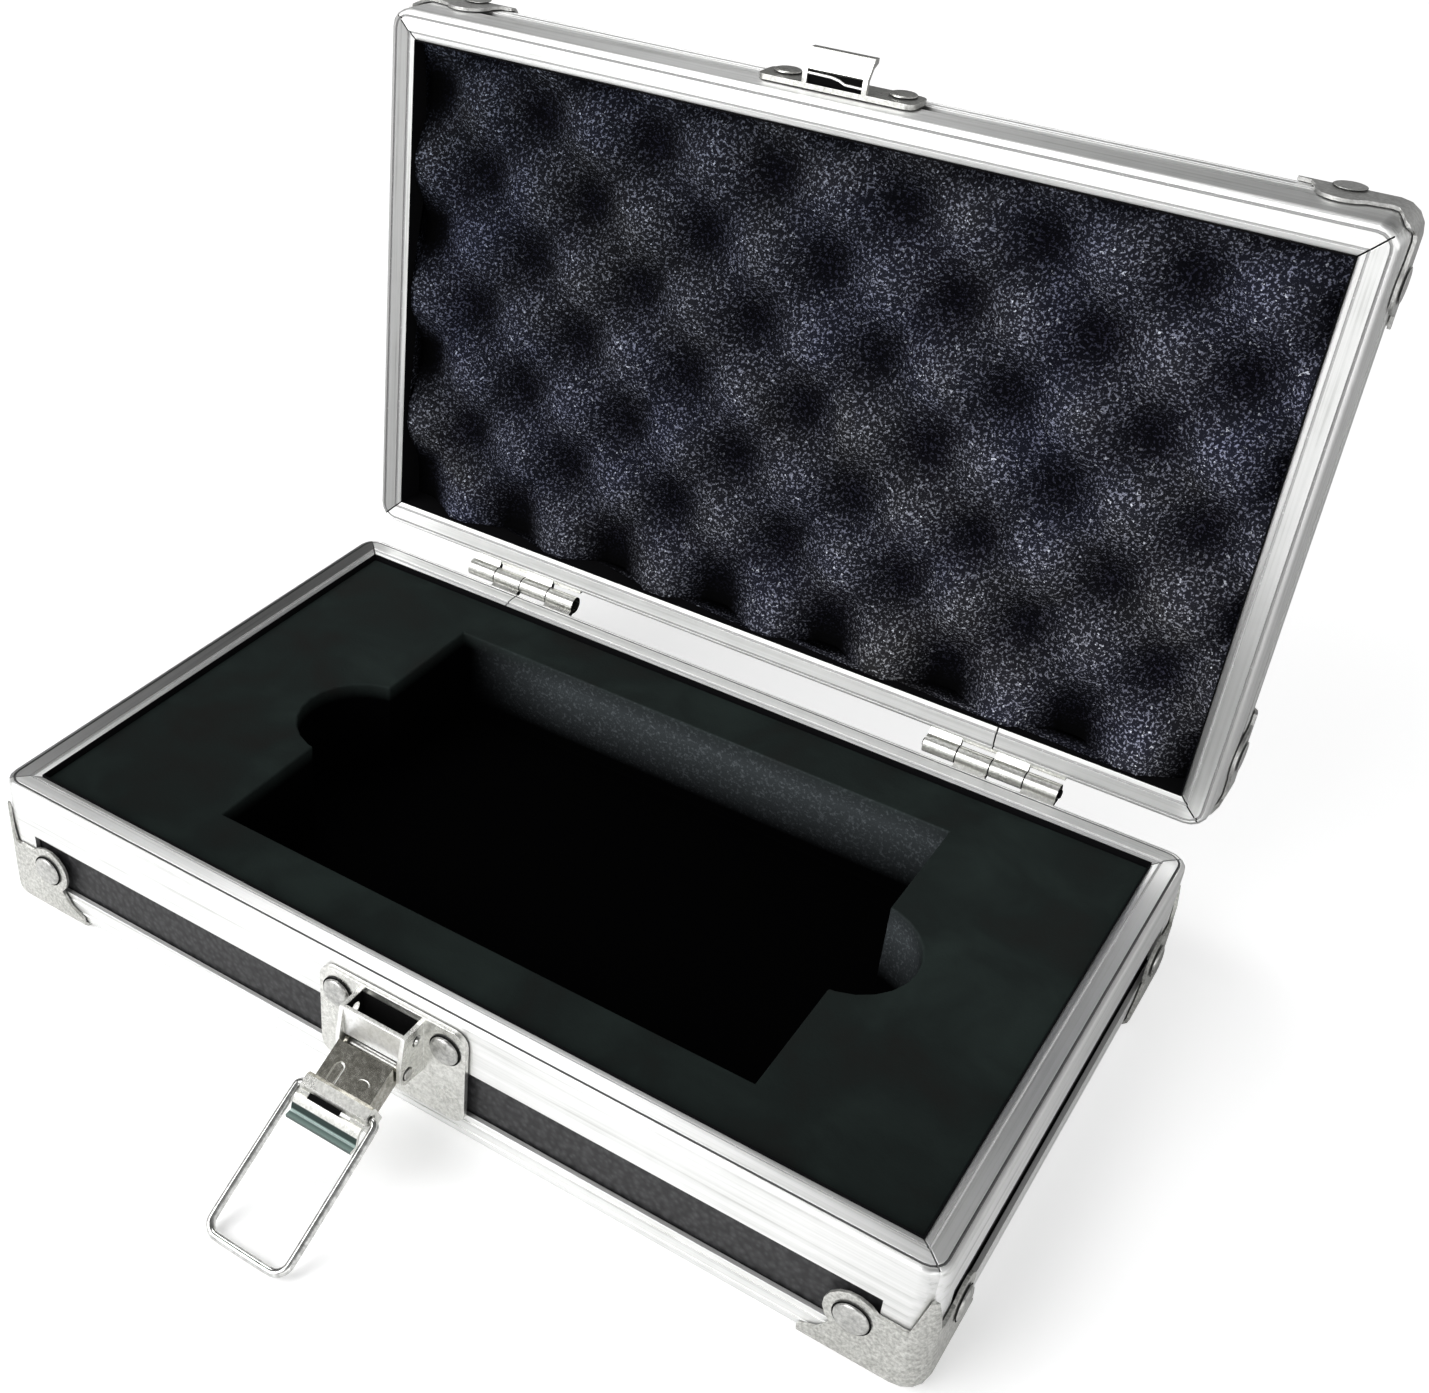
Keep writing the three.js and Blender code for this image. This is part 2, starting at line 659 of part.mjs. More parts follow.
// Lever: a bent plate with side flanges, an eye at the pivot and holes for the wire bail
function lever() {
  const neckHalf = boxWidth / 2 - boxSheet - fitGap;
  const headHalf = leverHeadWidth / 2;
  const arch = leverFace + wireArchRise;
  const line = [
    point(leverStart, leverFace),
    point(leverHeadStart, leverFace),
    point(wireArchStart, arch),
    point(wireArchEnd, arch),
    point(channelStart, leverFace - channelDrop),
    point(channelEnd, leverFace - channelDrop),
    point(bandStart, leverFace + bandRise),
    point(bandEnd, leverFace - bandDrop),
    point(tipBend, leverFace - tipBendDrop),
    point(tipEnd, leverFace - tipEndDrop),
  ];
  const under = leverFace - leverSheet / 2;
  const neckFlange = [
    point(leverStart, -leverFlangeDrop),
    point(leverNeckEnd, -leverFlangeDrop),
    point(leverNeckEnd, under),
    point(leverStart, under),
  ];
  const headFlange = [
    point(leverHeadStart, -leverFlangeDrop),
    point(leverHeadFlangeEnd - leverFlangeDrop, -leverFlangeDrop),
    point(leverHeadFlangeEnd, 0),
    point(leverHeadFlangeEnd, under - channelDrop),
    point(channelStart, under - channelDrop),
    point(wireArchEnd, under + wireArchRise),
    point(wireArchStart, under + wireArchRise),
    point(leverHeadStart, under),
  ];
  let body = solid(across(bentSheet(line, leverSheet), -headHalf, headHalf));
  for (const sign of [-1, 1]) {
    const neckMiddle = sign * (neckHalf - leverSheet / 2);
    const headMiddle = sign * (headHalf - leverSheet / 2);
    const thick = leverSheet / 2;
    const beside = [sign * neckHalf, sign * (headHalf + overrun)].sort((a, b) => a - b);
    const shoulder = block(...beside, -leverHeadStart, overrun, -leverFace, leverFace + overrun);
    body = body.subtract(solid(shoulder));
    const eye = roundBar(0, 0, leverEyeRadius, neckMiddle - thick, neckMiddle + thick);
    body = body.add(solid(across(neckFlange, neckMiddle - thick, neckMiddle + thick)));
    body = body.add(solid(eye));
    body = body.add(solid(across(headFlange, headMiddle - thick, headMiddle + thick)));
    const pinHole = roundBar(0, 0, pivotPinRadius + fitGap, neckMiddle - overrun, neckMiddle + overrun);
    const wireHole = roundBar(
      bailPivotAlong,
      bailPivotOut,
      wireRadius + fitGap,
      headMiddle - overrun,
      headMiddle + overrun,
    );
    body = body.subtract(solid(pinHole)).subtract(solid(wireHole));
  }
  // Lanced tongue in the plate and the slot before the band
  const outer = tongueWidth / 2;
  const inner = outer - tongueLine;
  const tongue = [
    point(-outer, tongueEnd),
    ...arc(0, tongueStart + outer, outer, 180, 360, 6),
    point(outer, tongueEnd),
    point(inner, tongueEnd),
    ...arc(0, tongueStart + outer, inner, 360, 180, 6),
    point(-inner, tongueEnd),
  ];
  const lance = slab(tongue.map((p) => point(p.x - tonguePlace, -p.y)), leverFace - overrun, leverFace + overrun);
  body = body.subtract(solid(lance));
  const slot = block(
    -windowLength / 2,
    windowLength / 2,
    -channelEnd,
    -channelStart,
    leverFace - overrun,
    leverFace + overrun,
  );
  return geometryOf(body.subtract(solid(slot)));
}

// Curve with a station at each of its points, leaning into the turn between its neighbours
class StationCurve extends THREE.Curve {
  constructor(points) {
    super();
    this.points = points;
  }

  getPoint(t, target = new THREE.Vector3()) {
    return target.copy(this.points[Math.round(t * (this.points.length - 1))]);
  }

  getPointAt(t, target) {
    return this.getPoint(t, target);
  }

  getTangentAt(t, target = new THREE.Vector3()) {
    const last = this.points.length - 1;
    const here = Math.round(t * last);
    const into = this.points[Math.max(here, 1)].clone().sub(this.points[Math.max(here, 1) - 1]);
    const out = this.points[Math.min(here, last - 1) + 1].clone().sub(this.points[Math.min(here, last - 1)]);
    return target.copy(into.normalize().add(out.normalize())).normalize();
  }
}

// Wire bail in the plane z = 0, from its pivot stubs out to the cross wire
function bail(reach) {
  const half = bailWidth / 2 - wireRadius;
  const stub = leverHeadWidth / 2 - leverSheet - bailStubLap;
  const s = bailShoulderRadius;
  const r = bailCornerRadius;
  const route = [
    point(stub, 0),
    ...arc(half - s, -s, s, 90, 0, cornerSteps),
    ...arc(half - r, r - reach, r, 0, -90, bailSteps),
    ...arc(r - half, r - reach, r, 270, 180, bailSteps),
    ...arc(s - half, -s, s, 180, 90, cornerSteps),
    point(-stub, 0),
  ];
  const path = new StationCurve(route.map((p) => new THREE.Vector3(p.x, p.y, 0)));
  const section = arc(0, 0, wireRadius, 0, 360 - 360 / wireSides, wireSides - 1);
  const settings = { steps: route.length - 1, extrudePath: path, bevelEnabled: false };
  return new THREE.ExtrudeGeometry(new THREE.Shape(section), settings);
}

// Draw latch on the base front: plate, pin and rivets fixed, lever and bail turning
function drawLatch(base) {
  const latch = new THREE.Group();
  latch.position.set(latchPlace, -halfWidth, protectorProud);
  latch.add(piece("latch_plate", latchPlate(), hardware));
  const pinHalf = boxWidth / 2 + pivotPinProud;
  const pin = roundBar(pivotOut, pivotUp, pivotPinRadius, -pinHalf, pinHalf);
  latch.add(piece("latch_pivot_pin", pin, rivetSteel));
  for (const [side, sign] of Object.entries({ left: -1, right: 1 })) {
    const x = (sign * latchRivetSpacing) / 2;
    const name = "latch_rivet_" + side;
    latch.add(standingRivet(name, x, latchRivetPlace, latchRivetRadius, latchRivetHeight, latchSheet));
  }
  const place = (drop) => {
    const cos = Math.cos(radians(drop));
    const sin = Math.sin(radians(drop));
    return point(
      pivotOut + bailPivotAlong * cos + bailPivotOut * sin,
      pivotUp - bailPivotAlong * sin + bailPivotOut * cos,
    );
  };
  const hookTop = catchEdge + hookRise;
  const seat = point(wireSeatOut, baseDepth + rimGap + hookTop + wireSeatGap + wireRadius);
  const reach = seat.distanceTo(place(leverClosedDrop));
  const table = fitGap + wireRadius - protectorProud;
  const bailDrop = Math.asin((place(leverOpenDrop).y - table) / reach);
  const leverGroup = new THREE.Group();
  leverGroup.position.set(0, -pivotOut, pivotUp);
  leverGroup.rotation.x = radians(leverOpenDrop);
  leverGroup.add(piece("latch_lever", lever(), hardware));
  const wire = piece("latch_bail", bail(reach), hardware);
  wire.position.set(0, -bailPivotAlong, bailPivotOut);
  wire.rotation.x = bailDrop - radians(leverOpenDrop);
  leverGroup.add(wire);
  latch.add(leverGroup);
  base.add(latch);
}

// Catch on the lid front: a plate with a pressed hook that the cross wire is drawn over
function catchPlate() {
  const half = hookWidth / 2;
  const face = fitGap + catchSheet;
  const root = face - catchSheet / 2;
  const ear = [
    point(root, catchEdge),
    point(hookLipRoot, catchEdge),
    point(hookLipOut, catchEdge + hookLipRise),
    point(hookLipOut, catchEdge + hookTipRise),
    point(hookLipOut - catchSheet, catchEdge + hookTipRise),
    point(hookNotchOut, catchEdge + hookRise),
    point(root, catchEdge + hookRise),
  ];
  const lip = bentSheet([
    point(hookLipOut, catchEdge + hookTipRise),
    point(hookLipOut, catchEdge + hookLipRise),
    point(hookLipRoot, catchEdge),
  ], catchSheet);
  const plateTop = catchEdge + catchHeight;
  let body = solid(plateWithCorners(catchWidth / 2, catchEdge, plateTop, catchCornerRadius, catchSheet));
  body = body.add(solid(across(ear, -half, catchSheet - half)));
  body = body.add(solid(across(ear, half - catchSheet, half)));
  body = body.add(solid(across(lip, -half, half)));
  return geometryOf(body);
}

function lidCatch(pivot) {
  const group = new THREE.Group();
  group.position.set(latchPlace, -(halfWidth + hingeAxisY), rimGap / 2);
  group.add(piece("catch_plate", catchPlate(), hardware));
  const level = catchEdge + catchHeight / 2;
  for (const [side, sign] of Object.entries({ left: -1, right: 1 })) {
    const x = (sign * latchRivetSpacing) / 2;
    const name = "catch_rivet_" + side;
    group.add(standingRivet(name, x, level, catchRivetRadius, latchRivetHeight, catchSheet));
  }
  pivot.add(group);
}

const baseShell = {
  name: "base",
  panelName: "base_bottom_panel",
  front: -1,
  depth: baseDepth,
  strip: baseStripHeight,
  edge: baseEdgeHeight,
  butt: baseButtPlace,
  protector: baseProtector,
};
const lidShell = {
  name: "lid",
  panelName: "lid_top_panel",
  front: 1,
  depth: lidDepth,
  strip: lidStripHeight,
  edge: lidEdgeHeight,
  butt: lidButtPlace,
  protector: lidProtector,
};

const displayCase = new THREE.Group();
const base = shellPieces(baseShell);
base.position.z = protectorProud;
base.add(piece("base_foam", pocketFoam(baseShell), baseFoamFinish));

// The lid turns about the hinge axis, and is laid out in it closed, upside down on the base
const lidPivot = new THREE.Group();
lidPivot.position.set(0, hingeAxisY, hingeAxisZ);
lidPivot.rotation.x = -radians(lidOpenAngle);
const lid = shellPieces(lidShell);
lid.add(piece("lid_foam", convolutedFoam(lidShell), lidFoamFinish));
lid.position.set(0, -hingeAxisY, rimGap / 2 + lidDepth);
lid.rotation.x = Math.PI;
lidPivot.add(lid);

hinges(displayCase, lidPivot);
drawLatch(displayCase);
lidCatch(lidPivot);
displayCase.add(base, lidPivot);

// The middle of the open case's reach goes to the origin
const middle = new THREE.Box3().setFromObject(displayCase, true).getCenter(new THREE.Vector3());
displayCase.position.set(-middle.x, -middle.y, 0);

export default displayCase;
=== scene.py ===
import json
import math
import bpy
from mathutils import Euler, Matrix, Vector

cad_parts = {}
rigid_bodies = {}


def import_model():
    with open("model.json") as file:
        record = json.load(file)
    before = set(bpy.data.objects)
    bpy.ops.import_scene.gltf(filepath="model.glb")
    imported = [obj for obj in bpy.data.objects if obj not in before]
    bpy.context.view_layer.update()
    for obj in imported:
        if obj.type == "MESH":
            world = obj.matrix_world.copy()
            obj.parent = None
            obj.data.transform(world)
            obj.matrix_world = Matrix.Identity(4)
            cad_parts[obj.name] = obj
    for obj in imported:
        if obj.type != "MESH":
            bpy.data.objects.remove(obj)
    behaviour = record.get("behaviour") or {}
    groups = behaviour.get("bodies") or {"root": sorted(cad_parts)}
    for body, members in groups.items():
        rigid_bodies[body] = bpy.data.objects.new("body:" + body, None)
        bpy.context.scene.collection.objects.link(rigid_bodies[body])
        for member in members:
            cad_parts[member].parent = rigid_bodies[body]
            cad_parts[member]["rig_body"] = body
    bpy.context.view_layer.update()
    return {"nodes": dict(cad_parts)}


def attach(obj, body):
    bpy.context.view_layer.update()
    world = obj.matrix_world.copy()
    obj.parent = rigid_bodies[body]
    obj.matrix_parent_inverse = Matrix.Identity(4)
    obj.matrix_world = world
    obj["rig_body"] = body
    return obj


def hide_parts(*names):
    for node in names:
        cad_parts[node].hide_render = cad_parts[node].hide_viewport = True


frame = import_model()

scene = bpy.context.scene
nodes = frame["nodes"]
mm = 0.001

# where the two shells lie, as in the CAD: the base's middle and the hinge line
shells = {
    "baseMiddle": Vector((0, 9.193, 0)) * mm,
    "rimLevel": 31.5 * mm,
    "hinge": Vector((0, 78.693, 31.65)) * mm,
    "hingeReach": 69.5 * mm,  # from the shells' middle to the hinge line
    "rimGap": 0.15 * mm,  # from the hinge line to either rim on the closed case
    "lidAngle": 92.5,
    "halfLength": 110 * mm,
    "halfWidth": 65.5 * mm,
}
lidTurn = Euler((math.radians(-shells["lidAngle"]), 0, 0)).to_matrix()
lidMiddle = shells["hinge"] + lidTurn @ Vector((0, -shells["hingeReach"], 0))
# each shell's own frame: in the lid's, heights count down from the hinge line
shellFrames = {
    "base": {"middle": shells["baseMiddle"], "turn": Matrix.Identity(3), "up": 1, "rim": shells["rimLevel"]},
    "lid": {"middle": lidMiddle, "turn": lidTurn, "up": -1, "rim": shells["rimGap"]},
}

# the latch: distances out from the front face, up from the strips' underside and along the lever
latch = {
    "middle": -1.8 * mm,
    "face": -56.307 * mm,
    "bottom": 1.0 * mm,
    "sheet": 1.2 * mm,
    "boxHalf": 7.8 * mm,
    "boxOut": 7.4 * mm,
    "boxLow": 20.8 * mm,
    "boxHigh": 27.6 * mm,
    "pivotOut": 6.5 * mm,
    "pivotUp": 18 * mm,
    "drop": math.radians(26),
    "plateHigh": 3.9 * mm,
    "highlightFrom": 9.6 * mm,
    "highlightTo": 15.2 * mm,
}


def newPiece(name, add, **settings):
    # a piece from one of the primitives, with everything else deselected first
    bpy.ops.object.select_all(action="DESELECT")
    add(**settings)
    piece = bpy.context.active_object
    piece.name = name
    return piece


# nodes
def setSockets(node, values):
    for key, value in values.items():
        node.inputs[key].default_value = value
    return node


def addNode(tree, kind, sockets=None, **settings):
    node = tree.nodes.new("ShaderNode" + kind)
    for key, value in settings.items():
        setattr(node, key, value)
    return setSockets(node, sockets or {})


def mathNode(tree, operation, first, *others):
    # a longer row of values goes through one node after the other
    for other in others or (None,):
        node = addNode(tree, "Math", operation=operation)
        for index, value in enumerate((first, other)):
            if isinstance(value, (int, float)):
                node.inputs[index].default_value = value
            elif value is not None:
                tree.links.new(value, node.inputs[index])
        first = node.outputs[0]
    return first


def splitNode(tree, vector):
    node = addNode(tree, "SeparateXYZ")
    tree.links.new(vector, node.inputs[0])
    return node.outputs


def rangeNode(tree, value, start, end, low=0.0, high=1.0, **settings):
    sockets = {"From Min": start, "From Max": end, "To Min": low, "To Max": high}
    node = addNode(tree, "MapRange", sockets, **settings)
    tree.links.new(value, node.inputs["Value"])
    return node.outputs[0]


def rampNode(tree, factor, stops):
    node = addNode(tree, "ValToRGB")
    elements = node.color_ramp.elements
    while len(elements) < len(stops):
        elements.new(0.5)
    for element, (place, colour) in zip(elements, stops):
        element.position = place
        if isinstance(colour, (int, float)):
            colour = (colour, colour, colour)
        element.color = (*colour, 1)
    tree.links.new(factor, node.inputs[0])
    return node.outputs[0]


def mixColour(tree, factor, first, second, blend="MIX"):
    node = addNode(tree, "Mix", data_type="RGBA", blend_type=blend)
    for socket, value in ((node.inputs[0], factor), (node.inputs[6], first), (node.inputs[7], second)):
        if isinstance(value, (int, float)):
            socket.default_value = value
        elif isinstance(value, tuple):
            socket.default_value = (*value, 1)
        else:
            tree.links.new(value, socket)
    return node.outputs[2]


def newGroup(name, inputs, outputs):
    group = bpy.data.node_groups.new(name, "ShaderNodeTree")
    group.interface.new_socket("Vector", in_out="INPUT", socket_type="NodeSocketVector")
    for socketName, value in inputs:
        socket = group.interface.new_socket(socketName, in_out="INPUT", socket_type="NodeSocketFloat")
        socket.default_value = value
    for socketName in outputs:
        group.interface.new_socket(socketName, in_out="OUTPUT", socket_type="NodeSocketFloat")
    return group, group.nodes.new("NodeGroupInput").outputs, group.nodes.new("NodeGroupOutput").inputs


def useGroup(tree, group, vector, **values):
    node = tree.nodes.new("ShaderNodeGroup")
    node.node_tree = group
    tree.links.new(vector, node.inputs["Vector"])
    return setSockets(node, values).outputs


def newMaterial(name, middle=None, turn=None):
    # with a middle and a turn, places count from the shell's own frame
    material = bpy.data.materials.new(name)
    material.use_nodes = True
    tree = material.node_tree
    place = addNode(tree, "TexCoord").outputs["Object"]
    if middle is not None:
        sockets = {"Location": middle, "Rotation": turn.to_euler()}
        mapping = addNode(tree, "Mapping", sockets, vector_type="TEXTURE")
        tree.links.new(place, mapping.inputs["Vector"])
        place = mapping.outputs[0]
    return material, tree, tree.nodes["Principled BSDF"], place


def addBump(tree, shader, height, strength, distance):
    bump = addNode(tree, "Bump", {"Strength": strength, "Distance": distance})
    tree.links.new(height, bump.inputs["Height"])
    tree.links.new(bump.outputs[0], shader.inputs["Normal"])


# camera at the photograph's angle
photoFrame = {
    "width": 1429,
    "height": 1393,
    "focal": 1790.5,
    "middle": (494.4, 682.2),
    "sensor": 36,
    "nearest": 0.01,
    "place": (147.61, -251.25, 274.9),
    "right": (0.82122, 0.56984, 0.02956),
    "up": (-0.34679, 0.45730, 0.81891),
    "back": (0.45313, -0.68276, 0.57316),
}


def placeCamera():
    data = bpy.data.cameras.new("camera")
    data.sensor_width = photoFrame["sensor"]
    data.lens = photoFrame["sensor"] * photoFrame["focal"] / photoFrame["width"]
    data.shift_x = 0.5 - photoFrame["middle"][0] / photoFrame["width"]
    data.shift_y = (photoFrame["middle"][1] - photoFrame["height"] / 2) / photoFrame["width"]
    data.clip_start = photoFrame["nearest"]
    camera = bpy.data.objects.new("camera", data)
    scene.collection.objects.link(camera)
    axes = Matrix([Vector(photoFrame[axis]) for axis in ("right", "up", "back")])
    camera.matrix_world = Matrix.Translation(Vector(photoFrame["place"]) * mm) @ axes.transposed().to_4x4()
    scene.camera = camera


placeCamera()
print("camera placed")

# light and floor
studio = {
    # how bright the surroundings are, by the height of the direction: pale walls, a dark ceiling
    "sky": [(0.0, 1.0), (0.2, 0.95), (0.4, 0.62), (0.62, 0.34), (1.0, 0.2)],
    "window": (0.45, -0.6, 0.85),  # how the walls change to the right and to the back, and their even part
    "lamps": {
        "key": ((-0.86, -1.22, 1.05), 29, (1.75, 1.2)),
        "top": ((-0.40, 0.34, 1.36), 4, (0.6, 0.6)),
        "strip": ((-0.82, 0.55, 1.5), 2.5, (0.5, 0.5)),
        "fill": ((1.5, -1.1, 0.7), 2.5, (0.9, 0.9)),
    },
    "aim": (0, 0.02, 0.05),
    "floor": (0.93, 0.93, 0.93),
    "floorShader": {"Roughness": 0.9, "Specular IOR Level": 0.1},
    "floorSize": 12,
    "floorGlow": 0.24,  # lifts the lit floor to white where it is seen
    "farFloorShade": (-0.08, 0.28, 0.48),  # painted shadow: behind and to the right of the case the floor is painted duller in the metal
}


def lightWorld():
    world = bpy.data.worlds.new("studio")
    world.use_nodes = True
    tree = world.node_tree
    walls = tree.nodes["Background"]
    toRight, toBack, even = studio["window"]
    x, y, z = splitNode(tree, addNode(tree, "TexCoord").outputs["Generated"])
    tree.links.new(rampNode(tree, z, studio["sky"]), walls.inputs["Color"])
    rightward = mathNode(tree, "MULTIPLY", x, toRight)
    backward = mathNode(tree, "MULTIPLY", y, toBack)
    tree.links.new(mathNode(tree, "ADD", rightward, backward, even), walls.inputs["Strength"])
    # past the floor's edge the picture stays white
    white = addNode(tree, "Background", {"Color": (1, 1, 1, 1), "Strength": 1.0})
    either = addNode(tree, "MixShader")
    tree.links.new(addNode(tree, "LightPath").outputs["Is Camera Ray"], either.inputs[0])
    tree.links.new(walls.outputs[0], either.inputs[1])
    tree.links.new(white.outputs[0], either.inputs[2])
    tree.links.new(either.outputs[0], tree.nodes["World Output"].inputs["Surface"])
    scene.world = world


def hangLamps():
    for name, (place, power, size) in studio["lamps"].items():
        data = bpy.data.lights.new(name, "AREA")
        data.shape = "RECTANGLE"
        data.size, data.size_y = size
        data.energy = power
        lamp = bpy.data.objects.new(name, data)
        lamp.location = place
        lamp.rotation_euler = (Vector(studio["aim"]) - Vector(place)).to_track_quat("-Z", "Y").to_euler()
        scene.collection.objects.link(lamp)


def layFloor():
    add = bpy.ops.mesh.primitive_plane_add
    floor = newPiece("floor", add, size=studio["floorSize"], location=(0, 0, 0))
    material, tree, shader, place = newMaterial("paleFloor")
    setSockets(shader, studio["floorShader"])
    x, y, z = splitNode(tree, place)
    # painted shadow on the floor behind and to the right, seen only in the metal; for the camera it is
    # lifted back to white
    near, distant, floorShadeDepth = studio["farFloorShade"]
    far = rangeNode(tree, mathNode(tree, "ADD", x, y), near, distant, interpolation_type="SMOOTHSTEP")
    shadedFloor = tuple(value - floorShadeDepth for value in studio["floor"])
    tree.links.new(mixColour(tree, far, studio["floor"], shadedFloor), shader.inputs["Base Color"])
    rays = addNode(tree, "LightPath").outputs
    mirrored = mathNode(tree, "MULTIPLY", rays["Is Glossy Ray"], mathNode(tree, "SUBTRACT", 1.0, far))
    seen = mathNode(tree, "MAXIMUM", rays["Is Camera Ray"], mirrored)
    lift = mathNode(tree, "MULTIPLY", rays["Is Camera Ray"], far, floorShadeDepth)
    glow = addNode(tree, "Emission")
    strength = mathNode(tree, "ADD", mathNode(tree, "MULTIPLY", seen, studio["floorGlow"]), lift)
    tree.links.new(strength, glow.inputs["Strength"])
    both = addNode(tree, "AddShader")
    tree.links.new(shader.outputs[0], both.inputs[0])
    tree.links.new(glow.outputs[0], both.inputs[1])
    tree.links.new(both.outputs[0], tree.nodes["Material Output"].inputs["Surface"])
    floor.data.materials.append(material)


lightWorld()
hangLamps()
layFloor()
scene.view_settings.view_transform = "Standard"
print("studio lit")


# shared effects
def makeDrawnGrain():
    # fine lines that run along each side of a strip and meet at its mitres
    slow = 0.012
    inputs = [("HalfLength", shells["halfLength"]), ("HalfWidth", shells["halfWidth"]), ("Fineness", 900.0)]
    group, start, end = newGroup("drawnGrain", inputs, ["Lines", "Broad"])
    x, y, z = splitNode(group, start["Vector"])
    fromEnd = mathNode(group, "SUBTRACT", start["HalfLength"], mathNode(group, "ABSOLUTE", x))
    fromSide = mathNode(group, "SUBTRACT", start["HalfWidth"], mathNode(group, "ABSOLUTE", y))
    runsAcross = mathNode(group, "LESS_THAN", fromEnd, fromSide)
    stays = mathNode(group, "SUBTRACT", 1.0, runsAcross)
    scaleX = mathNode(group, "ADD", mathNode(group, "MULTIPLY", stays, slow), runsAcross)
    scaleY = mathNode(group, "ADD", mathNode(group, "MULTIPLY", runsAcross, slow), stays)
    stretched = addNode(group, "CombineXYZ")
    group.links.new(mathNode(group, "MULTIPLY", x, scaleX), stretched.inputs[0])
    group.links.new(mathNode(group, "MULTIPLY", y, scaleY), stretched.inputs[1])
    group.links.new(z, stretched.inputs[2])
    for name, share in (("Lines", 1.0), ("Broad", 0.3)):
        noise = addNode(group, "TexNoise", {"Detail": 3.0, "Roughness": 0.6})
        group.links.new(stretched.outputs[0], noise.inputs["Vector"])
        group.links.new(mathNode(group, "MULTIPLY", start["Fineness"], share), noise.inputs["Scale"])
        group.links.new(noise.outputs[0], end[name])
    return group


def makeSpeckle():
    # separate bright or dark grains: Amount is how much of the surface they cover
    inputs = [("Size", 0.001), ("Amount", 0.3), ("Soft", 0.1)]
    group, start, end = newGroup("speckle", inputs, ["Mask", "Noise"])
    noise = addNode(group, "TexNoise", {"Detail": 2.0, "Roughness": 0.65})
    group.links.new(start["Vector"], noise.inputs["Vector"])
    group.links.new(mathNode(group, "DIVIDE", 1.0, start["Size"]), noise.inputs["Scale"])
    # the noise lies between about 0.25 and 0.75
    level = mathNode(group, "SUBTRACT", 0.75, mathNode(group, "MULTIPLY", start["Amount"], 0.5))
    mask = addNode(group, "MapRange", clamp=True)
    group.links.new(noise.outputs[0], mask.inputs["Value"])
    group.links.new(level, mask.inputs["From Min"])
    group.links.new(mathNode(group, "ADD", level, start["Soft"]), mask.inputs["From Max"])
    group.links.new(mask.outputs[0], end["Mask"])
    group.links.new(noise.outputs[0], end["Noise"])
    return group


def makeSmudges():
    # broad uneven patches, as handling leaves on metal
    group, start, end = newGroup("smudges", [("Size", 0.02), ("Contrast", 0.3)], ["Value"])
    noise = addNode(group, "TexNoise", {"Detail": 4.0, "Roughness": 0.55, "Distortion": 0.4})
    group.links.new(start["Vector"], noise.inputs["Vector"])
    group.links.new(mathNode(group, "DIVIDE", 1.0, start["Size"]), noise.inputs["Scale"])
    centred = mathNode(group, "SUBTRACT", noise.outputs[0], 0.5)
    group.links.new(mathNode(group, "MULTIPLY", centred, start["Contrast"]), end["Value"])
    return group


drawnGrain = makeDrawnGrain()
speckle = makeSpeckle()
smudges = makeSmudges()


# strips
aluminium = {
    "fineness": 2600.0,
    "patches": {"Size": 0.012, "Contrast": 0.25},
    "lineShare": 0.3,
    "tones": [(0.40, (0.56, 0.565, 0.55)), (0.56, (0.76, 0.765, 0.755)), (0.80, (0.87, 0.87, 0.865))],
    "roughness": 0.30,
    "lineRoughness": 0.16,
    "shader": {"Metallic": 0.92, "Anisotropic": 0.8, "Anisotropic Rotation": 0.25},
    "relief": (0.25, 0.00004),
    "outerWidth": 4.7 * mm,
    "webBelow": 1.4 * mm,
    # painted light and shade: how pale the strips are painted at the left end's outer half, at the right end
    # and on the front web
    "base": {"left": 0.42, "right": 1.22, "front": 1.0, "webWidth": 1.3 * mm},
    "lid": {"left": 0.50, "right": 1.0, "front": 0.68, "webWidth": 1.6 * mm},
}


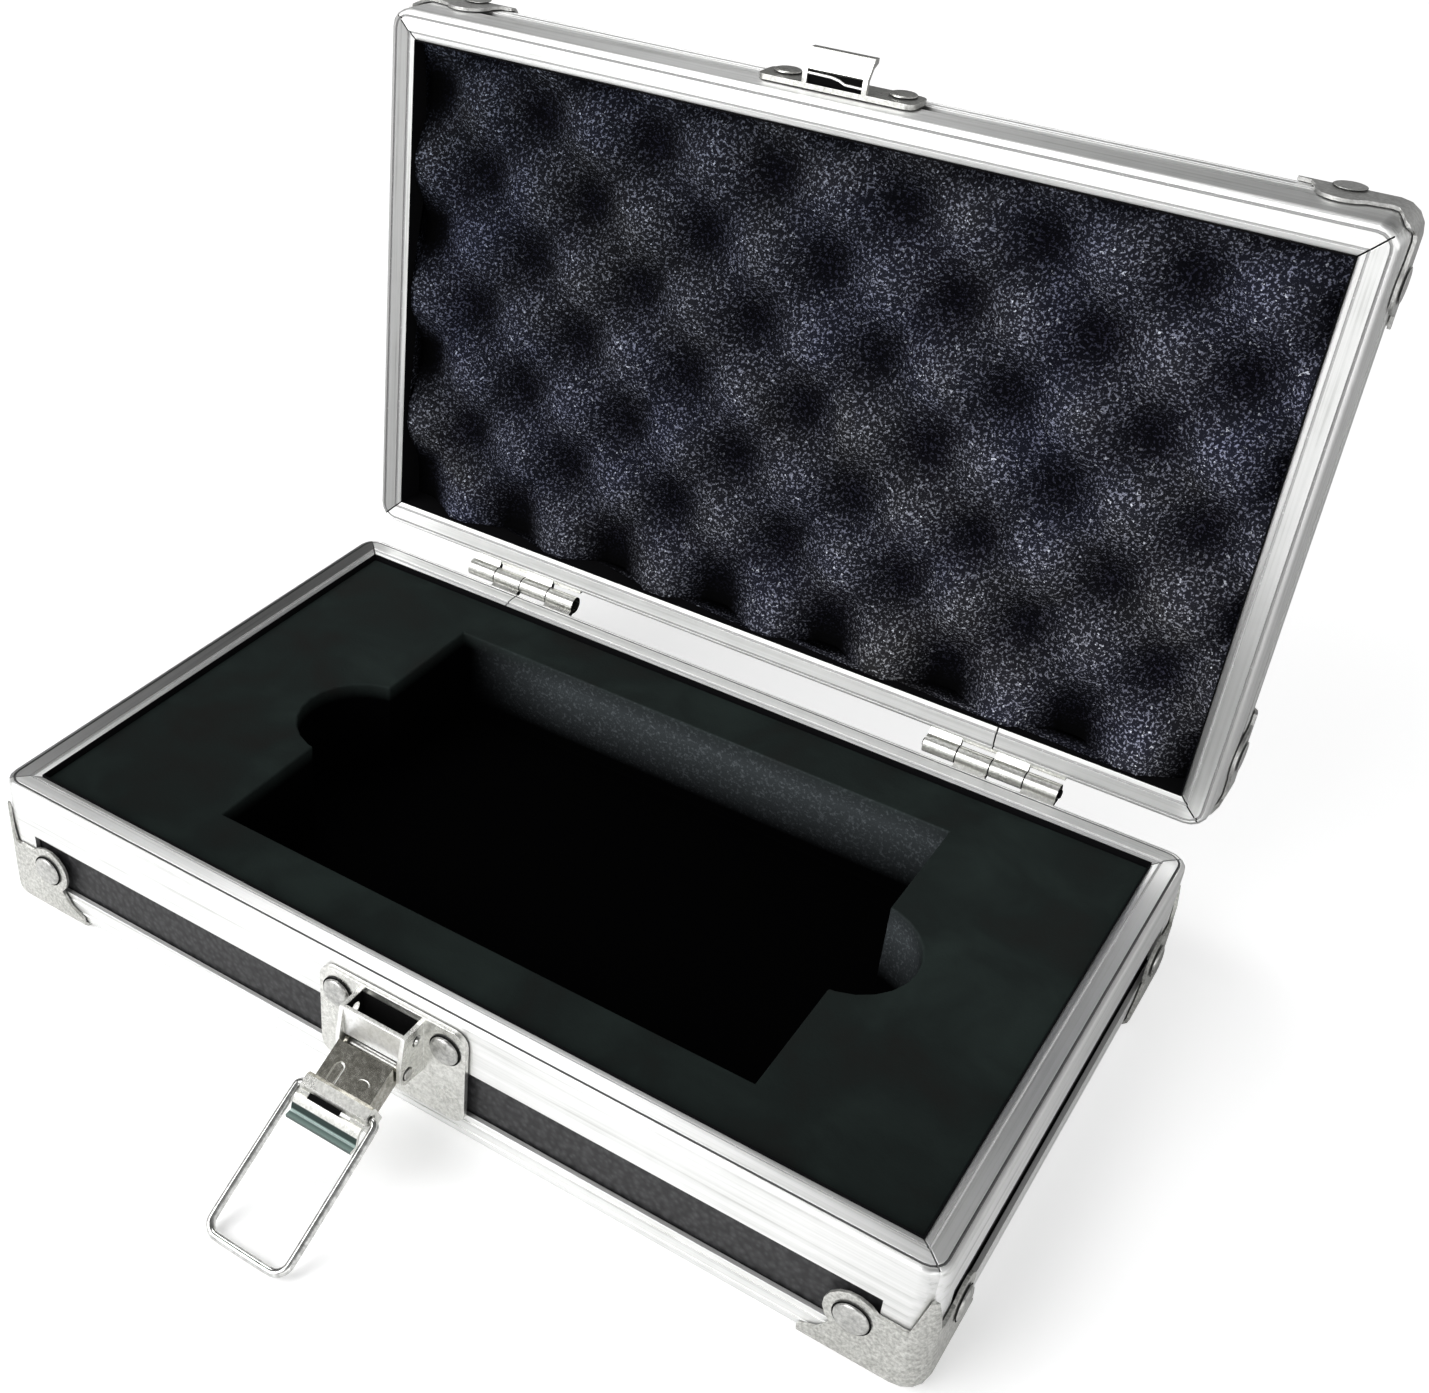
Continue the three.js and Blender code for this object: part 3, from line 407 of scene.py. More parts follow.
def makeAluminium(name, shell):
    # drawn strips: the grain follows each strip, so light spreads across it, and some sides carry painted
    # light and shade
    middle, turn = shellFrames[shell]["middle"], shellFrames[shell]["turn"]
    material, tree, shader, place = newMaterial(name, middle, turn)
    lines = useGroup(tree, drawnGrain, place, Fineness=aluminium["fineness"])
    patches = useGroup(tree, smudges, place, **aluminium["patches"])[0]
    fine = mathNode(tree, "MULTIPLY", lines["Lines"], aluminium["lineShare"])
    colour = rampNode(tree, mathNode(tree, "ADD", lines["Broad"], patches, fine), aluminium["tones"])
    rough = mathNode(tree, "MULTIPLY", lines["Lines"], aluminium["lineRoughness"])
    tree.links.new(mathNode(tree, "ADD", rough, aluminium["roughness"]), shader.inputs["Roughness"])
    setSockets(shader, aluminium["shader"])
    x, y, z = splitNode(tree, place)
    fromEnd = mathNode(tree, "SUBTRACT", shells["halfLength"], mathNode(tree, "ABSOLUTE", x))
    fromSide = mathNode(tree, "SUBTRACT", shells["halfWidth"], mathNode(tree, "ABSOLUTE", y))
    side = mathNode(tree, "LESS_THAN", fromEnd, fromSide)
    outer = mathNode(tree, "LESS_THAN", fromEnd, aluminium["outerWidth"])
    fromFront = mathNode(tree, "ADD", y, shells["halfWidth"])
    onWeb = mathNode(tree, "LESS_THAN", fromFront, aluminium[shell]["webWidth"])
    below = mathNode(tree, "GREATER_THAN", mathNode(tree, "ABSOLUTE", z), aluminium["webBelow"])
    # painted shade on the left ends and the lid's front web, painted light on the base's right end
    paintedLightRegions = {
        "left": mathNode(tree, "MULTIPLY", side, mathNode(tree, "LESS_THAN", x, 0.0), outer),
        "right": mathNode(tree, "MULTIPLY", side, mathNode(tree, "GREATER_THAN", x, 0.0)),
        "front": mathNode(tree, "MULTIPLY", onWeb, below, mathNode(tree, "SUBTRACT", 1.0, side)),
    }
    for region, where in paintedLightRegions.items():
        relit = mixColour(tree, 1.0, colour, (aluminium[shell][region],) * 3, "MULTIPLY")
        colour = mixColour(tree, where, colour, relit)
    tree.links.new(colour, shader.inputs["Base Color"])
    grain = addNode(tree, "Mix", data_type="VECTOR")
    tree.links.new(side, grain.inputs[0])
    grain.inputs[4].default_value = Vector((1, 0, 0))
    grain.inputs[5].default_value = turn @ Vector((0, 1, 0))
    toWorld = addNode(tree, "VectorTransform", convert_from="OBJECT", convert_to="WORLD")
    tree.links.new(grain.outputs[1], toWorld.inputs[0])
    tree.links.new(toWorld.outputs[0], shader.inputs["Tangent"])
    addBump(tree, shader, lines["Lines"], *aluminium["relief"])
    return material


# steel: the darkest, middle and palest tone, roughness, metallic share, size of the flecks and relief
steels = {
    "plated": ((0.36, 0.36, 0.34), (0.53, 0.53, 0.505), (0.70, 0.70, 0.67), 0.40, 0.85, 0.0007, 0.12),
    "lidPlated": ((0.52, 0.52, 0.505), (0.64, 0.64, 0.625), (0.76, 0.76, 0.745), 0.38, 0.9, 0.0008, 0.06),
    "rivet": ((0.32, 0.32, 0.31), (0.46, 0.46, 0.445), (0.60, 0.60, 0.58), 0.30, 0.9, 0.0009, 0.06),
    "bright": ((0.52, 0.52, 0.495), (0.66, 0.66, 0.63), (0.80, 0.80, 0.77), 0.28, 0.92, 0.0007, 0.05),
    # pale steel; on the latch box's front faces it is a painted highlight
    "paleSteelAndHighlight": ((0.78, 0.78, 0.76), (0.88, 0.88, 0.87), (0.96, 0.96, 0.95), 0.34, 0.9, 0.0008, 0.03),
    # painted reflection: the lever's steel is darker and browner, for the dark that it reflects
    "lever": ((0.20, 0.195, 0.165), (0.32, 0.31, 0.27), (0.46, 0.45, 0.41), 0.20, 1.0, 0.0009, 0.05),
    "wire": ((0.40, 0.40, 0.39), (0.56, 0.56, 0.55), (0.72, 0.72, 0.71), 0.12, 1.0, 0.0012, 0.12),
}
steelGrain = {
    "flecks": {"Amount": 0.4, "Soft": 0.12},
    "patches": {"Size": 0.006, "Contrast": 0.25},
    "stops": (0.3, 0.5, 0.7),
    "patchRoughness": 0.3,
    "distance": 0.00003,
}


def makeSteel(name, dark, middle, pale, roughness, metallic, fleckSize, relief):
    material, tree, shader, place = newMaterial(name + "Steel")
    flecks = useGroup(tree, speckle, place, Size=fleckSize, **steelGrain["flecks"])
    patches = useGroup(tree, smudges, place, **steelGrain["patches"])[0]
    tone = mathNode(tree, "ADD", flecks["Noise"], patches)
    colour = rampNode(tree, tone, list(zip(steelGrain["stops"], (dark, middle, pale))))
    tree.links.new(colour, shader.inputs["Base Color"])
    uneven = mathNode(tree, "MULTIPLY", patches, steelGrain["patchRoughness"])
    tree.links.new(mathNode(tree, "ADD", uneven, roughness), shader.inputs["Roughness"])
    setSockets(shader, {"Metallic": metallic})
    addBump(tree, shader, flecks["Noise"], relief, steelGrain["distance"])
    return material


# painted light and shade on the lever's bent end, by shares of its reach along the lever
tipBands = {
    "from": 15.2 * mm,
    "to": 18.2 * mm,
    "tones": [
        (0.10, (0.62, 0.64, 0.63)),
        (0.17, (0.03, 0.045, 0.042)),
        (0.42, (0.035, 0.056, 0.052)),
        (0.50, (0.40, 0.48, 0.46)),
        (0.60, (0.40, 0.48, 0.46)),
        (0.68, (0.035, 0.056, 0.052)),
        (0.92, (0.08, 0.11, 0.10)),
    ],
    "shader": {"Metallic": 0.8, "Roughness": 0.32},
}


def makePaintedTip():
    # painted light and shade: a highlight band, a fold in painted shade with a highlight line in it, and the
    # curl in painted shade
    material, tree, shader, place = newMaterial("paintedTipSteel")
    x, y, z = splitNode(tree, place)
    out = mathNode(tree, "SUBTRACT", latch["face"] - latch["pivotOut"], y)
    up = mathNode(tree, "SUBTRACT", z, latch["bottom"] + latch["pivotUp"])
    outShare = mathNode(tree, "MULTIPLY", out, math.cos(latch["drop"]))
    upShare = mathNode(tree, "MULTIPLY", up, -math.sin(latch["drop"]))
    reach = rangeNode(tree, mathNode(tree, "ADD", outShare, upShare), tipBands["from"], tipBands["to"])
    tree.links.new(rampNode(tree, reach, tipBands["tones"]), shader.inputs["Base Color"])
    setSockets(shader, tipBands["shader"])
    return material


# matt finishes: the felt of the lining, painted shade for the inside of joints and for the grooves, and the
# mitres
felt = {
    "nap": {"Size": 0.0005, "Amount": 0.3, "Soft": 0.2},
    "paler": 1.8,
    "palest": 0.9,
    "shader": {"Roughness": 0.95, "Specular IOR Level": 0.05},
    "relief": (0.3, 0.0001),
}
mattTones = {
    "lining": ("liningFeltInShade", (0.0035, 0.0035, 0.004)),
    "gap": ("jointShadow", (0.006,) * 3),
    "baseOuterGrooveShade": ("baseOuterGrooveShade", (0.17,) * 3),
    "baseInnerGrooveShade": ("baseInnerGrooveShade", (0.50,) * 3),
    "lidOuterGrooveShade": ("lidOuterGrooveShade", (0.42,) * 3),
    "lidInnerGrooveShade": ("lidInnerGrooveShade", (0.46,) * 3),
    "baseMitre": ("baseMitre", (0.30,) * 3),
    "shade": ("innerShade", (0.004,) * 3),
}


def makeMatt(name, colour):
    material, tree, shader, place = newMaterial(name)
    nap = useGroup(tree, speckle, place, **felt["nap"])
    raised = tuple(min(felt["paler"] * value, felt["palest"]) for value in colour)
    tree.links.new(mixColour(tree, nap["Mask"], colour, raised), shader.inputs["Base Color"])
    setSockets(shader, felt["shader"])
    addBump(tree, shader, nap["Noise"], *felt["relief"])
    return material


# panels
facing = {
    "cells": 900.0,
    "warp": {"Scale": 400.0, "Detail": 3.0},
    "warpShare": 0.6,
    "tones": [(0.2, (0.054, 0.054, 0.056)), (0.9, (0.016, 0.016, 0.017))],
    "shader": {"Roughness": 0.55, "Specular IOR Level": 0.30},
    "relief": (0.8, 0.00015),
}


def makeFacing():
    # dark grey laminate with a fine leather grain
    material, tree, shader, place = newMaterial("panelFacing")
    cells = addNode(tree, "TexVoronoi", {"Scale": facing["cells"], "Randomness": 1.0}, feature="SMOOTH_F1")
    warp = addNode(tree, "TexNoise", facing["warp"])
    tree.links.new(place, warp.inputs["Vector"])
    tree.links.new(place, cells.inputs["Vector"])
    warped = mathNode(tree, "MULTIPLY", warp.outputs[0], facing["warpShare"])
    height = mathNode(tree, "ADD", cells.outputs[0], warped)
    tree.links.new(rampNode(tree, height, facing["tones"]), shader.inputs["Base Color"])
    setSockets(shader, facing["shader"])
    addBump(tree, shader, height, *facing["relief"])
    return material


# foams: the lid's body and edges go from a warm to a cold tone, and its depths count from the rim
lidFoamLook = {
    "cells": {"Size": 0.00060, "Amount": 0.42, "Soft": 0.10},
    "glints": {"Size": 0.00100, "Amount": 0.17, "Soft": 0.05},
    "patches": {"Size": 0.036, "Contrast": 1.7},
    "patchLevel": 0.68,
    "pitDepth": 7.6 * mm,
    "crestDepth": 1.4 * mm,
    "crestPower": 1.2,
    "body": ((0.015, 0.014, 0.011), (0.0100, 0.0110, 0.0190)),
    "bodyShadedInPit": (0.0008, 0.0008, 0.0016),
    "edge": ((0.225, 0.225, 0.200), (0.195, 0.205, 0.290)),
    "edgeShadedInPit": (0.012, 0.012, 0.020),
    "glint": (0.52, 0.54, 0.61),
    "paintedLightRamp": {"from": -0.18, "to": 0.18, "acrossShare": 1.2},
    "paintedLightGain": ((0.58, 0.64, 0.74), (1.76, 1.75, 1.70)),
    "hingeSide": (47 * mm, 57 * mm),
    "leftEnd": (-95 * mm, -101 * mm),
    "lipShadePower": 2.0,
    "lipShade": (0.0004, 0.0004, 0.0006),
    "shader": {"Roughness": 0.95, "Specular IOR Level": 0.05},
    "relief": (0.7, 0.0004),
}


def makeLidFoam():
    # open-cell foam: glinting cell edges on a dark body, with painted shade down in the pits
    look = lidFoamLook
    material, tree, shader, place = newMaterial("lidFoam", lidMiddle, lidTurn)
    cells = useGroup(tree, speckle, place, **look["cells"])
    glints = useGroup(tree, speckle, place, **look["glints"])
    patches = useGroup(tree, smudges, place, **look["patches"])[0]
    x, y, z = splitNode(tree, place)
    # painted shade: the deeper in a pit, the darker the foam
    rise = rangeNode(tree, z, look["pitDepth"], look["crestDepth"])
    rise = mathNode(tree, "POWER", rise, look["crestPower"])
    hue = mathNode(tree, "ADD", patches, look["patchLevel"])
    body = mixColour(tree, rise, look["bodyShadedInPit"], mixColour(tree, hue, *look["body"]))
    edge = mixColour(tree, rise, look["edgeShadedInPit"], mixColour(tree, hue, *look["edge"]))
    colour = mixColour(tree, cells["Mask"], body, edge)
    colour = mixColour(tree, mathNode(tree, "MULTIPLY", glints["Mask"], rise), colour, look["glint"])
    # painted light: the block is painted a little paler towards its right end and its hinge side
    reach = mathNode(tree, "ADD", x, mathNode(tree, "MULTIPLY", y, look["paintedLightRamp"]["acrossShare"]))
    paintedLightRamp = rangeNode(tree, reach, look["paintedLightRamp"]["from"], look["paintedLightRamp"]["to"])
    colour = mixColour(tree, 1.0, colour, mixColour(tree, paintedLightRamp, *look["paintedLightGain"]), "MULTIPLY")
    # painted shade: the pits that run out under the lip are painted black at the hinge side and at the left
    # end
    hingeSide = rangeNode(tree, y, *look["hingeSide"])
    leftEnd = rangeNode(tree, x, *look["leftEnd"])
    pit = mathNode(tree, "POWER", mathNode(tree, "SUBTRACT", 1.0, rise), look["lipShadePower"])
    lipShade = mathNode(tree, "MULTIPLY", mathNode(tree, "MAXIMUM", hingeSide, leftEnd), pit)
    colour = mixColour(tree, lipShade, colour, look["lipShade"])
    tree.links.new(colour, shader.inputs["Base Color"])
    setSockets(shader, look["shader"])
    addBump(tree, shader, cells["Noise"], *look["relief"])
    return material


baseFoamLook = {
    "grains": {"Size": 0.0007, "Amount": 0.45, "Soft": 0.2},
    "patches": {"Size": 0.022, "Contrast": 2.2},
    "patchLevel": 0.5,
    "top": (26 * mm, 29.7 * mm),
    "tones": [
        (0.1, (0.0145, 0.0158, 0.0150)),
        (0.45, (0.0145, 0.0190, 0.0180)),
        (0.9, (0.0200, 0.0275, 0.0255)),
    ],
    "frontShade": (-60 * mm, 70 * mm, 0.66, 1.05),
    "depths": (0.0003, 0.0003, 0.0004),
    "toFront": (-0.25, -0.85),
    "high": (11 * mm, 26 * mm),
    "rightward": (-62 * mm, -35 * mm),
    "underEdge": (30 * mm, 25 * mm, 0.3, 1.0),
    "wall": ((0.046, 0.053, 0.057), (0.122, 0.137, 0.148)),
    "shader": {"Roughness": 0.95, "Specular IOR Level": 0.02},
    "relief": (0.35, 0.0002),
}


def makeBaseFoam():
    # dense charcoal foam: painted shade makes it black down in the pocket, and painted light makes the rear
    # wall show paler torn cells
    look = baseFoamLook
    material, tree, shader, place = newMaterial("baseFoam")
    grains = useGroup(tree, speckle, place, **look["grains"])
    patches = useGroup(tree, smudges, place, **look["patches"])[0]
    x, y, z = splitNode(tree, place)
    face = rampNode(tree, mathNode(tree, "ADD", patches, look["patchLevel"]), look["tones"])
    face = mixColour(tree, 1.0, face, rangeNode(tree, y, *look["frontShade"]), "MULTIPLY")
    # painted shade: black down in the pocket, under its top
    body = mixColour(tree, rangeNode(tree, z, *look["top"]), look["depths"], face)
    # painted light: the upper right of the rear wall, which faces the front, is paler
    facingY = splitNode(tree, addNode(tree, "NewGeometry").outputs["Normal"])[1]
    toFront = rangeNode(tree, facingY, *look["toFront"])
    high = rangeNode(tree, z, *look["high"])
    rightward = rangeNode(tree, x, *look["rightward"])
    paintedLitWall = mathNode(tree, "MULTIPLY", toFront, high, rightward, rangeNode(tree, z, *look["underEdge"]))
    body = mixColour(tree, paintedLitWall, body, mixColour(tree, grains["Mask"], *look["wall"]))
    tree.links.new(body, shader.inputs["Base Color"])
    setSockets(shader, look["shader"])
    addBump(tree, shader, grains["Noise"], *look["relief"])
    return material


finishes = {shell + "Aluminium": makeAluminium(shell + "Aluminium", shell) for shell in shellFrames}
finishes.update({name: makeSteel(name, *values) for name, values in steels.items()})
finishes.update({name: makeMatt(*values) for name, values in mattTones.items()})
finishes.update({"paintedTip": makePaintedTip(), "facing": makeFacing()})
finishes.update({"baseFoam": makeBaseFoam(), "lidFoam": makeLidFoam()})
print("finishes mixed")


# meshes
merging = {"within": 0.002 * mm, "flat": 0.6}  # the degrees up to which two faces become one


def setMode(mode):
    bpy.ops.object.mode_set(mode=mode)


def editFaces(action):
    setMode("EDIT")
    bpy.ops.mesh.select_mode(type="FACE")
    bpy.ops.mesh.select_all(action=action)


def smoothBy(angle):
    bpy.ops.object.shade_smooth_by_angle(angle=math.radians(angle))


def selectOnly(piece):
    bpy.ops.object.select_all(action="DESELECT")
    piece.select_set(True)
    bpy.context.view_layer.objects.active = piece


def applyModifier(piece, kind, **settings):
    modifier = piece.modifiers.new(kind, kind)
    for key, value in settings.items():
        setattr(modifier, key, value)
    bpy.ops.object.modifier_apply(modifier=kind)


def faceOutward():
    bpy.ops.mesh.select_all(action="SELECT")
    bpy.ops.mesh.normals_make_consistent(inside=False)
    setMode("OBJECT")


def mergedCopy(nodeName, pieceName):
    piece = bpy.data.objects.new(pieceName, nodes[nodeName].data.copy())
    scene.collection.objects.link(piece)
    selectOnly(piece)
    setMode("EDIT")
    bpy.ops.mesh.select_all(action="SELECT")
    bpy.ops.mesh.remove_doubles(threshold=merging["within"])
    bpy.ops.mesh.dissolve_limited(angle_limit=math.radians(merging["flat"]))
    faceOutward()
    return piece


def creaseEdges(sharpness, value):
    setMode("EDIT")
    bpy.ops.mesh.select_all(action="DESELECT")
    bpy.ops.mesh.edges_select_sharp(sharpness=math.radians(sharpness))
    bpy.ops.transform.edge_crease(value=value)


def recoat(piece, finish):
    piece.data.materials.clear()
    piece.data.materials.append(finishes[finish])


# the CAD's hard pieces, with eased edges
lipShape = {"inset": 6.4 * mm, "fall": 0.38 * mm, "base": 31.2 * mm, "lid": 0.45 * mm, "play": 0.05 * mm}


def slopeLip(piece, shell):
    # the lip's top face falls a little towards the foam, so it takes its own tone of light
    middle, turn = shellFrames[shell]["middle"], shellFrames[shell]["turn"]
    fall = turn @ Vector((0, 0, -shellFrames[shell]["up"] * lipShape["fall"]))
    back = turn.inverted()
    for vertex in piece.data.vertices:
        place = back @ (vertex.co - middle)
        inset = min(shells["halfLength"] - abs(place.x), shells["halfWidth"] - abs(place.y))
        atTop = abs(place.z - lipShape[shell]) < lipShape["play"]
        if atTop and abs(inset - lipShape["inset"]) < lipShape["play"]:
            vertex.co += fall


def dress(nodeName, finish, slotName, width, steps=2, angle=35, smooth=38):
    piece = mergedCopy(nodeName, nodeName + "_dressed")
    if nodeName.endswith("_rim_strip"):
        slopeLip(piece, nodeName.split("_")[0])
    easing = {"width": width, "segments": steps, "limit_method": "ANGLE", "angle_limit": math.radians(angle)}
    applyModifier(piece, "BEVEL", **easing)
    smoothBy(smooth)
    # big faces keep their flat shading, and the eased edges take the turn
    selectOnly(piece)
    applyModifier(piece, "WEIGHTED_NORMAL", keep_sharp=True, weight=90)
    recoat(piece, finish)
    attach(piece, nodes[nodeName]["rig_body"])
    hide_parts(nodeName)
    return piece


joints = {
    "outer": (1.1 * mm, 1.6 * mm),
    "inner": (4.6 * mm, 5.1 * mm),
    "shallow": 0.2 * mm,
    "deep": 0.5 * mm,
    "play": 0.06 * mm,
    "corner": 4.5 * mm,
    "even": 0.02,  # how far a mitre's normal may lie off 45 degrees
    "smallest": 1e-8,  # the area of a mitre's face
    "square": 0.999,  # how squarely a butt's faces look along the case
    "buttWithin": 80 * mm,
    "mitre": {"base": "baseMitre", "lid": "gap"},
}


def insetOf(place):
    # how far a place lies inside the rounded outline of the case
    x = abs(place.x) - (shells["halfLength"] - joints["corner"])
    y = abs(place.y) - (shells["halfWidth"] - joints["corner"])
    return joints["corner"] - math.hypot(max(x, 0), max(y, 0)) - min(max(x, y), 0)


def shadeJointsAndGrooves(piece, shell):
    # painted shade: the mitre cuts, the butt joint and the two grooves are seen only as dark lines
    for name in (joints["mitre"][shell], shell + "OuterGrooveShade", shell + "InnerGrooveShade"):
        piece.data.materials.append(finishes[name])
    middle, turn, up, rim = (shellFrames[shell][key] for key in ("middle", "turn", "up", "rim"))
    back = turn.inverted()
    mesh = piece.data
    places = [back @ (vertex.co - middle) for vertex in mesh.vertices]
    insets = [insetOf(place) for place in places]
    depths = [up * (rim - place.z) for place in places]
    for face in mesh.polygons:
        normal = back @ face.normal
        slanted = max(abs(abs(normal.x) - abs(normal.y)), abs(normal.z)) < joints["even"]
        atButt = abs(normal.x) > joints["square"] and abs(face.center.x) < joints["buttWithin"]
        if slanted and face.area > joints["smallest"] or atButt:
            face.material_index = 1
        near = min(insets[i] for i in face.vertices) + joints["play"]
        far = max(insets[i] for i in face.vertices) - joints["play"]
        deep = max(depths[i] for i in face.vertices)
        if joints["shallow"] < deep < joints["deep"] + joints["play"]:
            for index, name in ((2, "outer"), (3, "inner")):
                if joints[name][0] <= near and far <= joints[name][1]:
                    face.material_index = index


def paintFaces(piece, finish, chosen):
    # a second finish on the faces whose middle and normal the test picks
    piece.data.materials.append(finishes[finish])
    index = len(piece.data.materials) - 1
    for face in piece.data.polygons:
        if chosen(face.center, face.normal):
            face.material_index = index


# by a part of their names: finish, slot, width of the eased edges, and for pins their steps and angles
stripEase = 0.12 * mm
hardPieces = {
    "_panel": ("facing", "panel_facing", 0.2 * mm),
    "base_protector": ("plated", "plated_steel", 0.15 * mm),
    "lid_protector": ("lidPlated", "plated_steel", 0.15 * mm),
    "_leaf": ("bright", "bright_steel", 0.16 * mm),
    "_plate": ("bright", "bright_steel", 0.1 * mm),
    "_lever": ("lever", "bright_steel", 0.1 * mm),
    "left_pin": ("shade", "rivet_steel", 0.15 * mm, 2, 50, 50),
    "right_pin": ("shade", "rivet_steel", 0.15 * mm, 2, 50, 50),
    "pivot_pin": ("rivet", "rivet_steel", 0.15 * mm, 2, 50, 50),
}
leafSlant = 0.35  # the knuckles' end faces look along the hinge by more than this


def leafEnd(place, normal):
    return abs(normal.x) > leafSlant


for shell in shellFrames:
    shadeJointsAndGrooves(dress(shell + "_rim_strip", shell + "Aluminium", "aluminium", stripEase), shell)
    dress(shell + "_edge_strip", shell + "Aluminium", "aluminium", stripEase)
for name in sorted(nodes):
    for part, settings in hardPieces.items():
        if part in name:
            piece = dress(name, *settings)
            if part == "_leaf":
                paintFaces(piece, "shade", leafEnd)


# places and faces on the latch and the lid
boxLightAndShade = {
    "acrossShare": 0.5,  # of the sheet, inside the box's side walls
    "outShare": 0.4,  # of the sheet, behind its front
    "below": 1.0 * mm,
    "underTop": 0.1 * mm,
    "level": 0.8,
    "facing": 0.85,
}


def latchPoint(x, out, up):
    return Vector((latch["middle"] + x, latch["face"] - out, latch["bottom"] + up))


def leverPoint(x, along, high):
    # a place on the hanging lever: along it from the pivot, and how high over the pivot line
    cos, sin = math.cos(latch["drop"]), math.sin(latch["drop"])
    out = latch["pivotOut"] + along * cos + high * sin
    up = latch["pivotUp"] - along * sin + high * cos
    return latchPoint(x, out, up)


def closedLidPoint(x, y, z):
    # a place given on the closed lid, from the hinge line, turned with the open lid
    return shells["hinge"] + lidTurn @ Vector((x, y, z))


def catchPoint(x, out, up):
    # a place on the closed lid's front face, turned with the open lid
    front = -(shells["hingeReach"] + shells["halfWidth"])
    return closedLidPoint(latch["middle"] + x, front - out, shells["rimGap"] + up)


def alongLever(place):
    out = latch["face"] - place.y - latch["pivotOut"]
    up = place.z - latch["bottom"] - latch["pivotUp"]
    return out * math.cos(latch["drop"]) - up * math.sin(latch["drop"])


def insideBox(place, normal):
    x = place.x - latch["middle"]
    out = latch["face"] - place.y
    up = place.z - latch["bottom"]
    across = abs(x) < latch["boxHalf"] - boxLightAndShade["acrossShare"] * latch["sheet"]
    within = latch["boxLow"] - boxLightAndShade["below"] < up < latch["boxHigh"] - boxLightAndShade["underTop"]
    behind = latch["sheet"] < out < latch["boxOut"] - boxLightAndShade["outShare"] * latch["sheet"]
    return across and within and behind and abs(normal.z) < boxLightAndShade["level"]


# painted highlight: the box's faces that look to the front and up
def boxFrontHighlight(place, normal):
    facing = max(-normal.y, normal.z) > boxLightAndShade["facing"]
    return facing and latch["face"] - place.y > latch["boxOut"] - latch["sheet"]


def leverArchHighlight(place, normal):
    return latch["highlightFrom"] < alongLever(place) < latch["highlightTo"]


def leverTip(place, normal):
    return alongLever(place) >= latch["highlightTo"]


latchPlate = bpy.data.objects["latch_plate_dressed"]
# painted shade inside the latch's box, and a painted highlight on its front
paintFaces(latchPlate, "shade", insideBox)
paintFaces(latchPlate, "paleSteelAndHighlight", boxFrontHighlight)
latchLever = bpy.data.objects["latch_lever_dressed"]
# painted highlight: the lever's arch, which faces up, is painted in the paler steel
paintFaces(latchLever, "bright", leverArchHighlight)
# painted light and shade in bands on the lever's bent end
paintFaces(latchLever, "paintedTip", leverTip)
print("hard pieces dressed")

# wire bail
wire = {
    "sharp": 60,
    "crease": 0.9,
    "swell": 0.045 * mm,  # what the rounding takes off again
    "levels": 2,
}


def roundWire():
    piece = mergedCopy("latch_bail", "latch_bail_wire")
    creaseEdges(wire["sharp"], wire["crease"])
    bpy.ops.mesh.select_all(action="SELECT")
    bpy.ops.transform.shrink_fatten(value=wire["swell"])
    setMode("OBJECT")
    applyModifier(piece, "SUBSURF", levels=wire["levels"], render_levels=wire["levels"])
    smoothBy(wire["sharp"])
    recoat(piece, "wire")
    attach(piece, "bail")
    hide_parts("latch_bail")


roundWire()

# rivets
rivetShape = {
    "sides": 40,
    # the head's profile from the rim in: share of the radius, share of the height
    "steps": [
        (1.0, 0.0),
        (0.985, 0.35),
        (0.93, 0.62),
        (0.80, 0.80),
        (0.62, 0.91),
        (0.38, 0.975),
        (0.15, 1.0),
    ],
    "smooth": 70,
    "backWithin": 0.01 * mm,  # of a CAD rivet's flat back
    # painted shadow with grime: how far the dark ring reaches past each head
    "shadowAndGrime": {"base": 0.32 * mm, "lid": 0.05 * mm},
    "shadowAndGrimeHeight": 0.05 * mm,
    # heads that are lower than the CAD's, and those with a finish of their own
    "lowered": {"lid": 0.22, "catch": 0.45},
    "finish": {"lid": "lidPlated", "catch": "bright"},
}


def drawCap(name, place, axis, steps, smooth, finish, body):
    # a disc drawn up through its steps, each a radius and a height over the sheet
    ring = {"vertices": rivetShape["sides"], "radius": steps[0][0], "fill_type": "NGON"}
    piece = newPiece(name, bpy.ops.mesh.primitive_circle_add, **ring)
    editFaces("SELECT")
    for (wide, low), (narrow, high) in zip(steps, steps[1:]):
        bpy.ops.mesh.extrude_region_move(TRANSFORM_OT_translate={"value": (0, 0, high - low)})
        bpy.ops.transform.resize(value=(narrow / wide, narrow / wide, 1))
    faceOutward()
    if smooth:
        smoothBy(smooth)
    turn = axis.to_track_quat("Z", "Y").to_matrix().to_4x4()
    piece.data.transform(Matrix.Translation(place) @ turn)
    piece.data.materials.append(finishes[finish])
    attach(piece, body)
    return piece


def makeRivet(name, place, axis, radius, height, body, finish="rivet"):
    steps = [(share * radius, rise * height) for share, rise in rivetShape["steps"]]
    return drawCap(name, place, axis, steps, rivetShape["smooth"], finish, body)


def makeShadowSeat(name, place, axis, radius, body):
    # the dark line of painted shadow and grime round a head: a very thin ring on the sheet
    steps = [(radius + rivetShape["shadowAndGrime"][body], 0), (radius, rivetShape["shadowAndGrimeHeight"])]
    drawCap(name, place, axis, steps, None, "gap", body)


